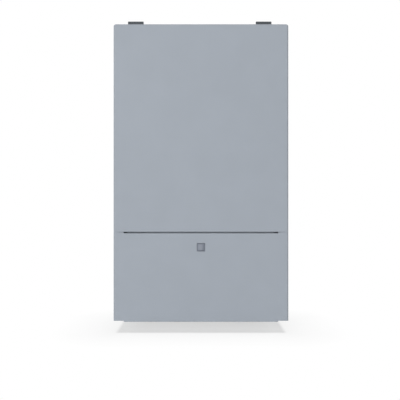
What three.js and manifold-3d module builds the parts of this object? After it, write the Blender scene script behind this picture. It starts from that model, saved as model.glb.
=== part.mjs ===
// A wall-hung gas condensing boiler in millimetres, +Z up.
// The wall is the plane y = 0, the front faces -Y, and x = 0 is the middle as seen from the front.
// z = 0 lies one top rise below the top of the casing.
import * as THREE from "three";
import { mergeVertices } from "three/addons/utils/BufferGeometryUtils.js";
import Module from "manifold-3d";

const wasm = await Module();
wasm.setup();

// Driving dimensions, in tables of sizes; the places that follow from them come after
const casing = { width: 410, depth: 280, height: 698, topRise: 30, sheet: 1.2, bend: 4, corner: 5.5 };
const fit = { seam: 0.6, touch: 0.3, run: 0.3, spin: 0.6, overrun: 5 };
const sides = { fine: 28, medium: 20, coarse: 14, small: 8, nut: 6 };
const bendSteps = 2;

// Front panels: the upper one pulls off its studs, the lower one folds down
const front = {
  upperHeight: 487.3, returnDepth: 22, ear: 24, slot: 3, lipDrop: 2.4, flange: 14,
  studRadius: 3, studInset: 11, studReach: 8, studFromTop: 40, studFromSeam: 17.3,
};
const flap = { flange: 10, returnDrop: 1.6, chamfer: 3.6 };

// Rear frame, hangers, side panels, top cover, rail, seal and clips
const rear = { foot: 8, flange: 28.8 };
const hanger = {
  width: 41, thick: 2.5, leftInset: 35, rightInset: 41, rise: 54, tail: 90, slotWidth: 10, slotLength: 26,
  slotFromTop: 12, corner: 4, sideGap: 1.5, frontGap: 0.8,
};
const side = { topFlange: 12, upperFlange: 31, lowerFlange: 8 };
const cover = { downFlange: 24 };
const rail = { height: 20, shelf: 30 };
const seal = { width: 9, depth: 8 };
const clip = { body: 6, head: 8, headThick: 1.5, length: 10 };

// Hinge of the lower front, and the bottom tray whose arms hold its rod
const hinge = { setBack: 6, rise: 6, rod: 2.5, nose: 1.5, end: 0.2 };
const tray = {
  rise: 14, setBack: 36, flange: 20, lip: 8, armGap: 2, armWide: 3, kneeShare: 2.5, noseEndShare: 1 / 3,
};

// Push latch of the lower front
const latch = {
  drop: 33, size: 19.2, edge: 1, proud: 1.2, gap: 0.3, rim: 1.3, rimThick: 1.2, cup: 27, cupDepth: 15.8,
  wall: 1.5, springRadius: 6, wire: 0.8, turns: 4, plug: 3.6, rib: 2.2, ribThick: 2, ribFront: 9.6,
  leaf: 0.8, leafWidth: 22, hook: 3.4, hookGap: 1, foot: 10, footBack: 38,
};

// Control box behind the lower front, with its fascia, knobs, display and gauge
const box = {
  wall: 2.5, armGap: 1.5, armReach: 18, top: 28.7, foot: 22, frontGap: 14.5, depth: 75.5, lid: 1.2, post: 4,
  postInset: 12, postDrop: 8,
};
const board = { sideGap: 37.5, topDrop: 14, footRise: 15, thick: 1.6, stand: 14.4 };
const fascia = { thick: 2.5, rowDrop: 74 };
const knob = {
  inset: 38, pitch: 47, radius: 17, waist: 14, length: 9.5, gap: 0.5, shaft: 3, pointer: 2, switchSize: 20,
  switchLength: 38,
};
const display = { knobGap: 35, width: 110, height: 44, corner: 3, gap: 0.3, thick: 2, lip: 3 };
const standby = {
  displayGap: 22, radius: 7, proud: 3, plunger: 2.5, rim: 1.2, switchSize: 12, switchLength: 30, travel: 1.5,
};
const gauge = {
  standbyGap: 58, bezel: 24, body: 20, inner: 21, proud: 3, length: 22, recess: 0.5, needle: 16, needleTail: 5,
  needleWide: 1.6, needleThick: 1, hub: 2.6, pin: 1,
};

// Expansion vessel on the left, and the heat exchanger drum beside it, lying front to back
const vessel = {
  sideGap: 5.8, width: 80, frontGap: 45, wallGap: 6.8, topDrop: 60, height: 400, corner: 40, bend: 16, rim: 4,
  rimThick: 6, bracket: 60, bracketTall: 120,
};
const drum = {
  vesselGap: 13, topDrop: 245, radius: 105, wall: 5, stand: 16.8, mouth: 88, doorRadius: 95, doorThick: 12,
  standRadius: 8, standSpread: 70,
};
const coil = { inner: 60, groove: 4, outer: 90, ringCount: 4, frontGap: 21.7 };
const spigot = { spread: 60, wallGap: 48.8, radius: 11, length: 14, root: 3 };
const spout = { shift: 45, back: 75, radius: 10, length: 12, root: 8 };
const burner = { radius: 32, wall: 1.5, flange: 40, flangeThick: 2, endGap: 57, inlet: 22 };
const electrode = {
  shift: -34, rise: 34, radius: 5, flange: 9, flangeThick: 2, front: 17, tip: 1.5, tipLength: 20, post: 2.5,
  postLength: 5,
};
const ignition = { inset: 15, width: 60, topDrop: 120, height: 70, depth: 40, socket: 5, socketLength: 3 };
const lead = { radius: 3, steps: 22 };
const flue = { wallGap: 88.8, pipe: 31.5, pipeWall: 1.5, topAbove: 18, neckRise: 25, ledge: 20 };
const collar = { flange: 68, flangeThick: 3, inner: 48.5, outer: 50.5, rise: 20, skirt: 10, holeGap: 0.5 };

// Fan, gas mixer, gas valve and air silencer under the drum
const fan = {
  shift: -20, drumGap: 42, radius: 66, wall: 3, depth: 48, outlet: 40, outletRise: 72, inlet: 24, shaft: 4.4,
  wheel: 52, hub: 28, bladeThick: 1.6, bladeCount: 12, plate: 2, frontGap: 2, rearGap: 6,
};
const fanMotor = { skinGap: 6.8, radius: 30, rim: 36, rimThick: 4, length: 27, pocket: 9, edge: 3 };
const elbow = { side: 4, slopeX: 20, slopeDrop: 10, throatDrop: 47 };
const mixer = { radius: 28, wall: 6, flange: 34, flangeThick: 4, length: 47, arm: 8, armBack: 22 };
const silencer = {
  left: 80, right: 30, drumGap: 10, height: 77, pipeGap: 7, wall: 2.5, intakeInset: 8, intake: 40,
};
const gasValve = {
  inset: 25, width: 75, height: 80, front: 18, depth: 70, port: 12, portDrop: 13, portInset: 35, portBack: 37,
  knobRadius: 15, knobLength: 18, coilWide: 26, coilRise: 12,
};

// Pipes, and the hydraulic blocks above the bottom tray
const stub = {
  pitch: 65, wallGap: 78.8, radius: 10.5, bore: 7.5, depth: 24, drop: 20, shoulder: 16, holeGap: 0.8,
  gasCollar: 13, gasCollarHigh: 8, gasBore: 6,
};
const plates = {
  past: 30, wallGap: 20.8, depth: 40, sink: 40, height: 75, corner: 8, ribCount: 6, rib: 1.5,
};
const block = { rise: 12.8, height: 80, depth: 50, pad: 20, corner: 4 };
const diverter = {
  inletForward: 5, inletRadius: 12, inletRise: 15, noseShift: 32, nose: 15, noseLength: 13, motor: 44,
  motorTall: 50, motorGap: 12.8, corner: 5,
};
const pump = {
  wheelInset: 18, wheelDrop: 25, volute: 44, cavity: 36, cavityDepth: 36, outletShift: 13, outletForward: 9,
  outletRadius: 12, outletRise: 22, motor: 38, motorFlange: 44, flangeThick: 5, motorGap: 10.8, pocket: 8,
  wheel: 33, wheelFront: 6, wheelDepth: 24, vaneCount: 6, vane: 2, hub: 9, shaft: 4.4, plate: 2,
};
const relief = {
  shift: 5, rise: 20, boss: 11, bossLength: 18, stem: 4, stemLength: 8, knob: 14, length: 17, lobeCount: 8,
};
const filling = { forward: 15, housing: 7, drop: 6, holeGap: 0.6, knob: 12, length: 23, stem: 3, lobeCount: 6 };
const pipe = { radius: 9, bend: 28, gasRadius: 8, gasBend: 18, gasKnee: 26, gasSlope: 26.8, gasDrop: 34.5 };
const hose = { radius: 9, bend: 26 };
const trap = {
  shift: 15, boxGap: 9.8, radius: 22, topDrop: 14, flange: 28, flangeThick: 3, neck: 12, neckHigh: 12, cup: 19,
  holeGap: 0.6, cupDrop: 26,
};

// Casing places
const halfWidth = casing.width / 2;
const innerX = halfWidth - casing.sheet;
const topZ = casing.topRise;
const lipZ = topZ - casing.height;
const frontY = -casing.depth;
const skinY = frontY + casing.sheet;
const wallPlateY = -casing.sheet;
const seamZ = topZ - front.upperHeight;
const slotX = halfWidth - front.ear;
const returnY = frontY + front.returnDepth;
const sideFrontY = returnY + fit.seam;
const sideFlangeY = sideFrontY + casing.sheet;
const flapTopZ = seamZ - front.slot;
const earTopZ = seamZ - fit.seam;
const earBottomZ = lipZ + front.lipDrop;
const studX = halfWidth - front.studInset;
const studZs = [topZ - front.studFromTop, seamZ + front.studFromSeam];
const latchZ = flapTopZ - latch.drop;
const hangerXs = [hanger.leftInset - halfWidth, halfWidth - hanger.rightInset];
const hangerTopZ = topZ + hanger.rise;

// Hinge, tray and control box places
const hingeY = frontY + hinge.setBack;
const hingeZ = lipZ + hinge.rise;
const hingeHole = hinge.rod + fit.run;
const noseRadius = hingeHole + hinge.nose;
const trayZ = lipZ + tray.rise;
const trayTopZ = trayZ + casing.sheet;
const trayFrontY = hingeY + tray.setBack;
const trayArmX = [slotX + tray.armGap, slotX + tray.armGap + tray.armWide];
const boxInnerX = trayArmX[1] + box.armGap;
const boxHalf = boxInnerX + box.wall;
const boxTopZ = seamZ - box.top;
const boxFootZ = hingeZ + box.foot;
const boxFrontY = hingeY + box.frontGap;
const boxRearY = boxFrontY + box.depth;
const lidRearY = boxRearY + box.lid;
const rowZ = boxTopZ - fascia.rowDrop;
const waterKnobX = boxHalf - knob.inset;
const heatingKnobX = waterKnobX - knob.pitch;
const displayX = [heatingKnobX - display.knobGap - display.width, heatingKnobX - display.knobGap];
const standbyX = displayX[0] - standby.displayGap;
const gaugeX = standbyX - gauge.standbyGap;

// Heat side places
const vesselX = [vessel.sideGap - innerX, vessel.sideGap - innerX + vessel.width];
const vesselY = [frontY + vessel.frontGap, wallPlateY - vessel.wallGap];
const vesselZ = [topZ - vessel.topDrop - vessel.height, topZ - vessel.topDrop];
const drumX = vesselX[1] + drum.vesselGap + drum.radius;
const drumZ = topZ - drum.topDrop;
const drumRearY = wallPlateY - drum.stand;
const fanFrontY = skinY + fanMotor.skinGap + fanMotor.length;
const doorY = fanFrontY + fan.depth;
const drumFrontY = doorY + drum.doorThick;
const flueY = wallPlateY - flue.wallGap;
const neckTopZ = drumZ + drum.radius + flue.neckRise;
const spigotY = wallPlateY - spigot.wallGap;
const drumUnder = (shift) => drumZ - Math.sqrt(drum.radius ** 2 - shift ** 2);
const spigotEndZ = drumUnder(spigot.spread) - spigot.length;
const spoutX = drumX + spout.shift;
const spoutY = drumFrontY + spout.back;
const spoutEndZ = drumUnder(spout.shift) - spout.length;
const electrodeX = drumX + electrode.shift;
const electrodeZ = drumZ + electrode.rise;
const ignitionX = [halfWidth - ignition.inset - ignition.width, halfWidth - ignition.inset];
const ignitionZ = [topZ - ignition.topDrop - ignition.height, topZ - ignition.topDrop];
const ignitionY = wallPlateY - ignition.depth;

// Air and gas side places
const fanX = drumX + fan.shift;
const fanZ = drumZ - drum.radius - fan.drumGap;
const fanRightX = fanX + fan.radius;
const outletLeftX = fanRightX - fan.outlet;
const outletTopZ = fanZ + fan.outletRise;
const shaftHole = fan.shaft + fit.spin;
const mixerEndY = doorY + mixer.length;
const silencerX = [fanX - silencer.left, fanX + silencer.right];
const silencerY = [mixerEndY, spigotY - pipe.radius - silencer.pipeGap];
const silencerTopZ = drumZ - drum.radius - silencer.drumGap;
const silencerZ = [silencerTopZ - silencer.height, silencerTopZ];
const valveX = [halfWidth - gasValve.inset - gasValve.width, halfWidth - gasValve.inset];
const valveY = [doorY - gasValve.front, doorY - gasValve.front + gasValve.depth];
const valveZ = [fanZ - gasValve.height / 2, fanZ + gasValve.height / 2];
const portX = valveX[1] - gasValve.portInset;
const portY = valveY[0] + gasValve.portBack;
const portZ = valveZ[0] - gasValve.portDrop;
const gasKneeZ = portZ - pipe.gasKnee;

// Water side places
const stubY = wallPlateY - stub.wallGap;
const stubEndZ = lipZ - stub.drop;
const [heatingFlowX, hotWaterX, gasX, coldWaterX, returnX] = [-2, -1, 0, 1, 2].map((step) => step * stub.pitch);
const plateY = [wallPlateY - plates.wallGap - plates.depth, wallPlateY - plates.wallGap];
const blockY = [plateY[0] - block.depth, plateY[0]];
const blockZ = [trayTopZ + block.rise, trayTopZ + block.rise + block.height];
const plateHalf = coldWaterX + plates.past;
const plateZ = [blockZ[1] - plates.sink, blockZ[1] - plates.sink + plates.height];
const diverterX = [heatingFlowX - block.pad, hotWaterX + block.pad];
const inletY = stubY - diverter.inletForward;
const inletTopZ = blockZ[1] + diverter.inletRise;
const noseX = heatingFlowX + diverter.noseShift;
const noseZ = (blockZ[0] + blockZ[1]) / 2;
const pumpX = [coldWaterX - block.pad, returnX + block.pad];
const wheelX = returnX - pump.wheelInset;
const wheelZ = blockZ[1] - pump.wheelDrop;
const outletX = returnX + pump.outletShift;
const outletY = stubY - pump.outletForward;
const pumpOutletZ = blockZ[1] + pump.outletRise;
const pumpShaftHole = pump.shaft + fit.spin;
const reliefX = coldWaterX - relief.shift;
const reliefZ = blockZ[0] + relief.rise;
const reliefMouthY = blockY[0] - relief.bossLength;
const tapX = (coldWaterX + returnX) / 2;
const tapY = stubY - filling.forward;
const tapMouthZ = trayZ - filling.drop;
const trapX = gasX + trap.shift;
const trapY = lidRearY + trap.boxGap + trap.flange;
const trapTopZ = boxTopZ - trap.topDrop;
const trapCupZ = trayZ - trap.cupDrop;

// Finishes, as the photograph shows them where it can
const finish = {
  powderCoat: [0xa4abb4, 0.55, 0.1],
  buttonCoat: [0x8d939e, 0.4, 0.2],
  darkSteel: [0x5e6165, 0.5, 0.7],
  zincSteel: [0xb6babd, 0.38, 0.85],
  stainless: [0xc4c6c8, 0.25, 0.95],
  castAluminium: [0xa9acae, 0.5, 0.8],
  copper: [0xb87048, 0.3, 0.95],
  brass: [0xb99a55, 0.35, 0.9],
  blackPlastic: [0x1f2123, 0.5, 0],
  greyPlastic: [0x55595e, 0.55, 0],
  palePlastic: [0xd8dadb, 0.5, 0],
  whitePlastic: [0xf0f0ee, 0.4, 0],
  bluePlastic: [0x2f5f9e, 0.5, 0],
  redPaint: [0xb3261e, 0.45, 0.1],
  redPlastic: [0xc02a20, 0.4, 0],
  rubber: [0x2a2a2b, 0.9, 0],
  ceramic: [0xeee9dd, 0.4, 0],
  circuitGreen: [0x1f6b3f, 0.5, 0],
  glass: [0x10151a, 0.08, 0],
};

const weldDistance = 1e-3;
const sliverHeight = 5e-3;
const quarterTurn = Math.PI / 2;

function finishOf([color, roughness, metalness]) {
  return new THREE.MeshStandardMaterial({ color, roughness, metalness });
}

function solidOf(geometry) {
  const flat = geometry.index ? geometry.toNonIndexed() : geometry;
  const bare = new THREE.BufferGeometry();
  bare.setAttribute("position", flat.getAttribute("position"));
  const merged = mergeVertices(bare, weldDistance);
  const mesh = new wasm.Mesh({
    numProp: 3,
    vertProperties: merged.attributes.position.array,
    triVerts: new Uint32Array(merged.index.array),
  });
  return new wasm.Manifold(mesh);
}

// Joined faces that lie in one plane become one face, which also clears slivers
function geometryOf(made) {
  const mesh = made.asOriginal().simplify(sliverHeight).getMesh();
  const geometry = new THREE.BufferGeometry();
  geometry.setAttribute("position", new THREE.BufferAttribute(mesh.vertProperties, mesh.numProp));
  geometry.setIndex(new THREE.BufferAttribute(mesh.triVerts, 1));
  return geometry;
}

function join(...pieces) {
  return geometryOf(pieces.map(solidOf).reduce((sum, piece) => sum.add(piece)));
}

function cut(body, ...tools) {
  return geometryOf(tools.map(solidOf).reduce((rest, tool) => rest.subtract(tool), solidOf(body)));
}

function common(body, tool) {
  return geometryOf(solidOf(body).intersect(solidOf(tool)));
}

// Moves every vertex by one rule, so that faces that should meet share their coordinates exactly
function moved(geometry, rule) {
  const position = geometry.getAttribute("position");
  for (let i = 0; i < position.count; i++) {
    position.setXYZ(i, ...rule(position.getX(i), position.getY(i), position.getZ(i)));
  }
  return geometry;
}

const between = ([from, to], share) => (share > 0 ? to : from);

function slab(xs, ys, zs) {
  return moved(new THREE.BoxGeometry(1, 1, 1), (x, y, z) => [between(xs, x), between(ys, y), between(zs, z)]);
}

// A flat outline drawn out along one axis, with its two faces exactly at the ends given
const prismRule = {
  x: (span) => (u, v, w) => [between(span, w), u, v],
  y: ([from, to]) => (u, v, w) => [u, between([to, from], w), v],
  z: (span) => (u, v, w) => [u, v, between(span, w)],
};

function shapeOf(outline) {
  if (outline instanceof THREE.Shape) return outline;
  return new THREE.Shape(outline.map(([u, v]) => new THREE.Vector2(u, v)));
}

function prism(axis, outline, span, curveSegments = bendSteps) {
  const settings = { depth: 1, bevelEnabled: false, curveSegments };
  return moved(new THREE.ExtrudeGeometry(shapeOf(outline), settings), prismRule[axis](span));
}

// A profile of [radius, height] pairs turned about an axis; the heights lie along that axis
const turnRule = {
  x: ([y, z]) => (u, h, w) => [h, y - u, z + w],
  y: ([x, z]) => (u, h, w) => [x + u, h, z + w],
  z: ([x, y]) => (u, h, w) => [x + u, y - w, h],
};

function turned(axis, at, profile, count = sides.medium) {
  const points = profile.map(([radius, height]) => new THREE.Vector2(radius, height));
  if (THREE.ShapeUtils.area(points) < 0) points.reverse();
  if (profile[0][0] > 0) points.push(points[0]);
  return moved(new THREE.LatheGeometry(points, count), turnRule[axis](at));
}

function rod(axis, at, radius, [from, to], count = sides.coarse) {
  return turned(axis, at, [[0, from], [radius, from], [radius, to], [0, to]], count);
}

function ring(axis, at, [inner, outer], [from, to], count = sides.medium) {
  return turned(axis, at, [[inner, from], [outer, from], [outer, to], [inner, to]], count);
}

function roundedRect([u0, u1], [v0, v1], radius) {
  const shape = new THREE.Shape();
  shape.absarc(u1 - radius, v1 - radius, radius, 0, quarterTurn);
  shape.absarc(u0 + radius, v1 - radius, radius, quarterTurn, 2 * quarterTurn);
  shape.absarc(u0 + radius, v0 + radius, radius, 2 * quarterTurn, 3 * quarterTurn);
  shape.absarc(u1 - radius, v0 + radius, radius, 3 * quarterTurn, 4 * quarterTurn);
  return shape;
}

// A round bar along straight runs that are joined by bends
function bentRod(places, radius, bend) {
  const corners = places.map((place) => new THREE.Vector3(...place));
  const path = new THREE.CurvePath();
  let from = corners[0];
  for (let i = 1; i < corners.length - 1; i++) {
    const [last, corner, next] = corners.slice(i - 1, i + 2);
    const before = corner.clone().add(last.clone().sub(corner).setLength(bend));
    const after = corner.clone().add(next.clone().sub(corner).setLength(bend));
    path.add(new THREE.LineCurve3(from, before));
    path.add(new THREE.QuadraticBezierCurve3(before, corner, after));
    from = after;
  }
  path.add(new THREE.LineCurve3(from, corners.at(-1)));
  const section = new THREE.Shape();
  section.absarc(0, 0, radius, 0, 4 * quarterTurn);
  const steps = Math.ceil(path.getLength() / (2 * radius));
  return new THREE.ExtrudeGeometry(section, { steps, extrudePath: path, curveSegments: sides.small / 2 });
}

// A shallow tray's cross-section: a flat back with two side walls and round bends, open at the rear
function channelShape(half, frontAt, rearAt, thick, bend) {
  const shape = new THREE.Shape();
  const inner = Math.max(bend - thick, thick / 2);
  const innerHalf = half - thick;
  const innerFront = frontAt + thick;
  shape.moveTo(-half, rearAt);
  shape.lineTo(-half, frontAt + bend);
  shape.absarc(bend - half, frontAt + bend, bend, 2 * quarterTurn, 3 * quarterTurn);
  shape.absarc(half - bend, frontAt + bend, bend, 3 * quarterTurn, 4 * quarterTurn);
  shape.lineTo(half, rearAt);
  shape.lineTo(innerHalf, rearAt);
  shape.lineTo(innerHalf, innerFront + inner);
  shape.absarc(innerHalf - inner, innerFront + inner, inner, 0, -quarterTurn, true);
  shape.absarc(inner - innerHalf, innerFront + inner, inner, -quarterTurn, -2 * quarterTurn, true);
  shape.lineTo(-innerHalf, rearAt);
  return shape;
}

const both = (make) => [-1, 1].map(make);
const mirrored = (sign, near, far) => (sign > 0 ? [near, far] : [-far, -near]);

const boiler = new THREE.Group();

function groupIn(parent) {
  const group = new THREE.Group();
  parent.add(group);
  return group;
}

function piece(parent, name, geometry, look, place = [0, 0, 0]) {
  const mesh = new THREE.Mesh(geometry, finishOf(look));
  mesh.name = name;
  mesh.position.set(...place);
  parent.add(mesh);
  return mesh;
}

// Casing: rear frame, hangers, side panels, top cover and the pull-off upper front
const casingGroup = groupIn(boiler);
const underTopZ = topZ - casing.sheet;
const coverZ = underTopZ - casing.sheet;
const innerCorner = casing.corner - casing.sheet;
const flatTopX = halfWidth - casing.corner;
const coverX = flatTopX - fit.touch;
const cornerZ = topZ - casing.corner - fit.touch;
const frameFootZ = lipZ + rear.foot;

function rearFrame() {
  const plate = [
    [-innerX, frameFootZ], [innerX, frameFootZ], [innerX, cornerZ], [coverX, cornerZ],
    [coverX, coverZ], [-coverX, coverZ], [-coverX, cornerZ], [-innerX, cornerZ],
  ];
  const flanges = both((sign) =>
    slab(mirrored(sign, innerX - casing.sheet, innerX), [wallPlateY - rear.flange, 0], [frameFootZ, cornerZ]));
  return join(prism("y", plate, [wallPlateY, 0]), ...flanges);
}

function hangerLug(atX) {
  const plateShape = roundedRect(
    [atX - hanger.width / 2, atX + hanger.width / 2], [topZ - hanger.tail, hangerTopZ], hanger.corner);
  const slotTop = hangerTopZ - hanger.slotFromTop;
  const slotHole = roundedRect(
    [atX - hanger.slotWidth / 2, atX + hanger.slotWidth / 2],
    [slotTop - hanger.slotLength, slotTop], hanger.slotWidth / 2);
  plateShape.holes.push(slotHole);
  return prism("y", plateShape, [wallPlateY - hanger.thick, wallPlateY]);
}

function sidePanel(sign) {
  const corner = new THREE.Shape();
  const topInX = halfWidth - side.topFlange;
  corner.moveTo(innerX, earBottomZ);
  corner.lineTo(halfWidth, earBottomZ);
  corner.lineTo(halfWidth, topZ - casing.corner);
  corner.absarc(flatTopX, topZ - casing.corner, casing.corner, 0, quarterTurn);
  corner.lineTo(topInX, topZ);
  corner.lineTo(topInX, underTopZ);
  corner.lineTo(flatTopX, underTopZ);
  corner.absarc(flatTopX, topZ - casing.corner, innerCorner, quarterTurn, 0, true);
  const skin = prism("y", corner, [sideFrontY, 0]);
  const overlapX = innerX + casing.sheet / 2;
  const upper = slab(
    [halfWidth - side.upperFlange, overlapX], [sideFrontY, sideFlangeY], [seamZ, cornerZ]);
  const lower = slab(
    [innerX - side.lowerFlange, overlapX], [sideFrontY, sideFlangeY], [earBottomZ, seamZ]);
  const holes = studZs.map((z) =>
    rod("y", [studX, z], clip.body + fit.run, [sideFrontY - fit.overrun, sideFlangeY + fit.overrun]));
  const panel = cut(join(skin, upper, lower), ...holes);
  return sign > 0 ? panel : mirrorX(panel);
}

function mirrorX(geometry) {
  moved(geometry, (x, y, z) => [-x, y, z]);
  const index = geometry.getIndex();
  for (let i = 0; i < index.count; i += 3) {
    const first = index.getX(i);
    index.setX(i, index.getX(i + 2));
    index.setX(i + 2, first);
  }
  return geometry;
}

function topCover() {
  const roof = slab([-coverX, coverX], [sideFrontY, 0], [coverZ, underTopZ]);
  const flangeX = halfWidth - side.upperFlange - fit.touch;
  const down = slab([-flangeX, flangeX], [sideFrontY, sideFlangeY], [topZ - cover.downFlange, underTopZ]);
  const notchHalf = hanger.width / 2 + hanger.sideGap;
  const notchY = wallPlateY - hanger.thick - hanger.frontGap;
  const notches = hangerXs.map((x) =>
    slab([x - notchHalf, x + notchHalf], [notchY, fit.overrun], [coverZ - fit.overrun, topZ + fit.overrun]));
  const flueHole = rod("z", [drumX, flueY], collar.outer + collar.holeGap,
    [coverZ - fit.overrun, topZ + fit.overrun], sides.fine);
  return cut(join(roof, down), ...notches, flueHole);
}

function crossRail() {
  const reach = halfWidth - side.upperFlange - fit.touch;
  const face = slab([-reach, reach], [sideFrontY, sideFlangeY], [seamZ, seamZ + rail.height]);
  const shelf = slab([-reach, reach], [sideFrontY, sideFrontY + rail.shelf], [seamZ, seamZ + casing.sheet]);
  return join(face, shelf);
}

// The upper front is one pressing: a rounded block, less its inside, open at the rear and below
function upperFrontPanel() {
  const foot = seamZ - 2 * casing.bend;
  const block = pressedBlock(roundedTop(halfWidth, topZ, foot, casing.corner), casing.bend, frontY);
  const inside = roundedTop(innerX, underTopZ, foot - casing.bend, innerCorner);
  const hollow = pressedBlock(inside, casing.bend - casing.sheet, skinY);
  const kept = slab([-halfWidth, halfWidth], [frontY, returnY], [seamZ, topZ]);
  const pan = common(cut(block, hollow), kept);
  const flange = slab([-slotX, slotX], [skinY, skinY + front.flange], [seamZ, seamZ + casing.sheet]);
  const studSpan = [skinY - casing.sheet / 2, sideFrontY + front.studReach];
  const studs = both((sign) => studZs.map((z) =>
    rod("y", [sign * studX, z], front.studRadius, studSpan, sides.small)));
  return join(pan, flange, ...studs.flat());
}

// A rectangle whose two upper corners are round and whose foot runs a bend lower, to be cut off
function roundedTop(half, high, low, radius) {
  const shape = new THREE.Shape();
  shape.moveTo(-half, low);
  shape.lineTo(half, low);
  shape.lineTo(half, high - radius);
  shape.absarc(half - radius, high - radius, radius, 0, quarterTurn);
  shape.absarc(radius - half, high - radius, radius, quarterTurn, 2 * quarterTurn);
  return shape;
}

// A block drawn towards the front, with its front edges rounded, past the rear edge of the return
function pressedBlock(shape, bend, frontAt) {
  const settings = {
    depth: returnY - frontAt - bend, bevelEnabled: true, bevelThickness: bend, bevelSize: bend,
    bevelOffset: -bend, bevelSegments: bendSteps, curveSegments: bendSteps,
  };
  return moved(new THREE.ExtrudeGeometry(shape, settings), (u, v, w) => [u, returnY - w, v]);
}

// The seal ring lies on the flanges that face the upper front panel
function frontSeal() {
  const outerX = halfWidth - side.upperFlange + seal.width;
  const innerSealX = halfWidth - side.upperFlange;
  const low = seamZ + rail.height / 2;
  const high = topZ - cover.downFlange / 2;
  const band = new THREE.Shape();
  band.moveTo(-outerX, low - seal.width / 2);
  band.lineTo(outerX, low - seal.width / 2);
  band.lineTo(outerX, high + seal.width / 2);
  band.lineTo(-outerX, high + seal.width / 2);
  const gap = new THREE.Path();
  gap.moveTo(-innerSealX, low + seal.width / 2);
  gap.lineTo(-innerSealX, high - seal.width / 2);
  gap.lineTo(innerSealX, high - seal.width / 2);
  gap.lineTo(innerSealX, low + seal.width / 2);
  band.holes.push(gap);
  return prism("y", band, [sideFrontY - seal.depth, sideFrontY]);
}

function panelClip() {
  const headY = sideFrontY - clip.headThick;
  const tailY = sideFlangeY + clip.length;
  const bore = front.studRadius + fit.run;
  const profile = [
    [bore, headY], [clip.head, headY], [clip.head, sideFrontY], [clip.body, sideFrontY],
    [clip.body, tailY - clip.body + bore], [bore + fit.seam, tailY], [bore, tailY],
  ];
  return turned("y", [0, 0], profile, sides.small);
}

piece(casingGroup, "rear_frame", rearFrame(), finish.zincSteel);
piece(casingGroup, "left_hanger", hangerLug(hangerXs[0]), finish.darkSteel);
piece(casingGroup, "right_hanger", hangerLug(hangerXs[1]), finish.darkSteel);
piece(casingGroup, "left_side_panel", sidePanel(-1), finish.powderCoat);
piece(casingGroup, "right_side_panel", sidePanel(1), finish.powderCoat);
piece(casingGroup, "top_cover", topCover(), finish.powderCoat);
piece(casingGroup, "cross_rail", crossRail(), finish.zincSteel);
piece(casingGroup, "upper_front_panel", upperFrontPanel(), finish.powderCoat);
piece(casingGroup, "front_seal", frontSeal(), finish.rubber);
both((sign) => studZs.forEach((z, row) => {
  const name = [sign < 0 ? "left" : "right", row ? "lower" : "upper", "panel_clip"].join("_");
  piece(casingGroup, name, panelClip(), finish.whitePlastic, [sign * studX, 0, z]);
}));

// Lower front: the flap, its push latch and the rod that it and the control box turn on
const lowerGroup = groupIn(boiler);
const cupHalf = latch.cup / 2;
const cupBackY = skinY + latch.cupDepth;
const rimY = skinY + latch.gap;
const rimBackY = rimY + latch.rimThick;
const square = (half, z) => [[-half, z - half], [half, z - half], [half, z + half], [-half, z + half]];

function frontFlap() {
  const channel = channelShape(halfWidth, frontY, returnY, casing.sheet, casing.bend);
  const shell = prism("z", channel, [lipZ, earTopZ]);
  const wideY = [frontY - fit.overrun, returnY + fit.overrun];
  const slot = slab([-slotX, slotX], wideY, [flapTopZ, earTopZ + fit.overrun]);
  const returnTops = slab(
    [-halfWidth - fit.overrun, halfWidth + fit.overrun], [frontY + casing.bend, returnY + fit.overrun],
    [earTopZ - flap.returnDrop, earTopZ + fit.overrun]);
  const underEars = both((sign) => slab(
    mirrored(sign, slotX, halfWidth + fit.overrun), wideY, [lipZ - fit.overrun, earBottomZ]));
  const heel = [
    [returnY, earBottomZ + flap.chamfer], [returnY - flap.chamfer, earBottomZ],
    [returnY - flap.chamfer, earBottomZ - fit.overrun], [returnY + fit.overrun, earBottomZ - fit.overrun],
    [returnY + fit.overrun, earBottomZ + flap.chamfer],
  ];
  const heels = prism("x", heel, [-halfWidth - fit.overrun, halfWidth + fit.overrun]);
  const top = slab([-slotX, slotX], [skinY, skinY + flap.flange], [flapTopZ - casing.sheet, flapTopZ]);
  const lip = slab([-slotX, slotX], [skinY, skinY + front.flange], [lipZ, lipZ + casing.sheet]);
  const hole = latch.size / 2 + latch.gap;
  const buttonHole = prism("y", square(hole, latchZ), [frontY - fit.overrun, skinY + fit.touch]);
  const rodHole = rod("x", [hingeY, hingeZ], hingeHole, [-halfWidth - fit.overrun, halfWidth + fit.overrun],
    sides.small);
  const trimmed = cut(shell, slot, returnTops, ...underEars, heels);
  return cut(join(trimmed, top, lip), buttonHole, rodHole);
}

function latchButton() {
  const half = latch.size / 2;
  const faceY = frontY - latch.proud;
  const settings = {
    depth: rimY - faceY - latch.edge, bevelEnabled: true, bevelThickness: latch.edge, bevelSize: latch.edge,
    bevelOffset: -latch.edge, bevelSegments: bendSteps,
  };
  const block = new THREE.ExtrudeGeometry(shapeOf(square(half, 0)), settings);
  const cap = moved(block, (u, v, w) => [u, rimY - w, v]);
  const rim = prism("y", square(half + latch.rim, 0), [rimY, rimBackY]);
  const plugSpan = [rimBackY - casing.sheet / 2, rimBackY + latch.plug];
  const plug = rod("y", [0, 0], latch.springRadius - latch.wire - latch.gap, plugSpan, sides.small);
  const kept = slab([-latch.size, latch.size], [faceY, plugSpan[1]], [-latch.size, latch.size]);
  return common(join(cap, rim, plug), kept);
}

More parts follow.
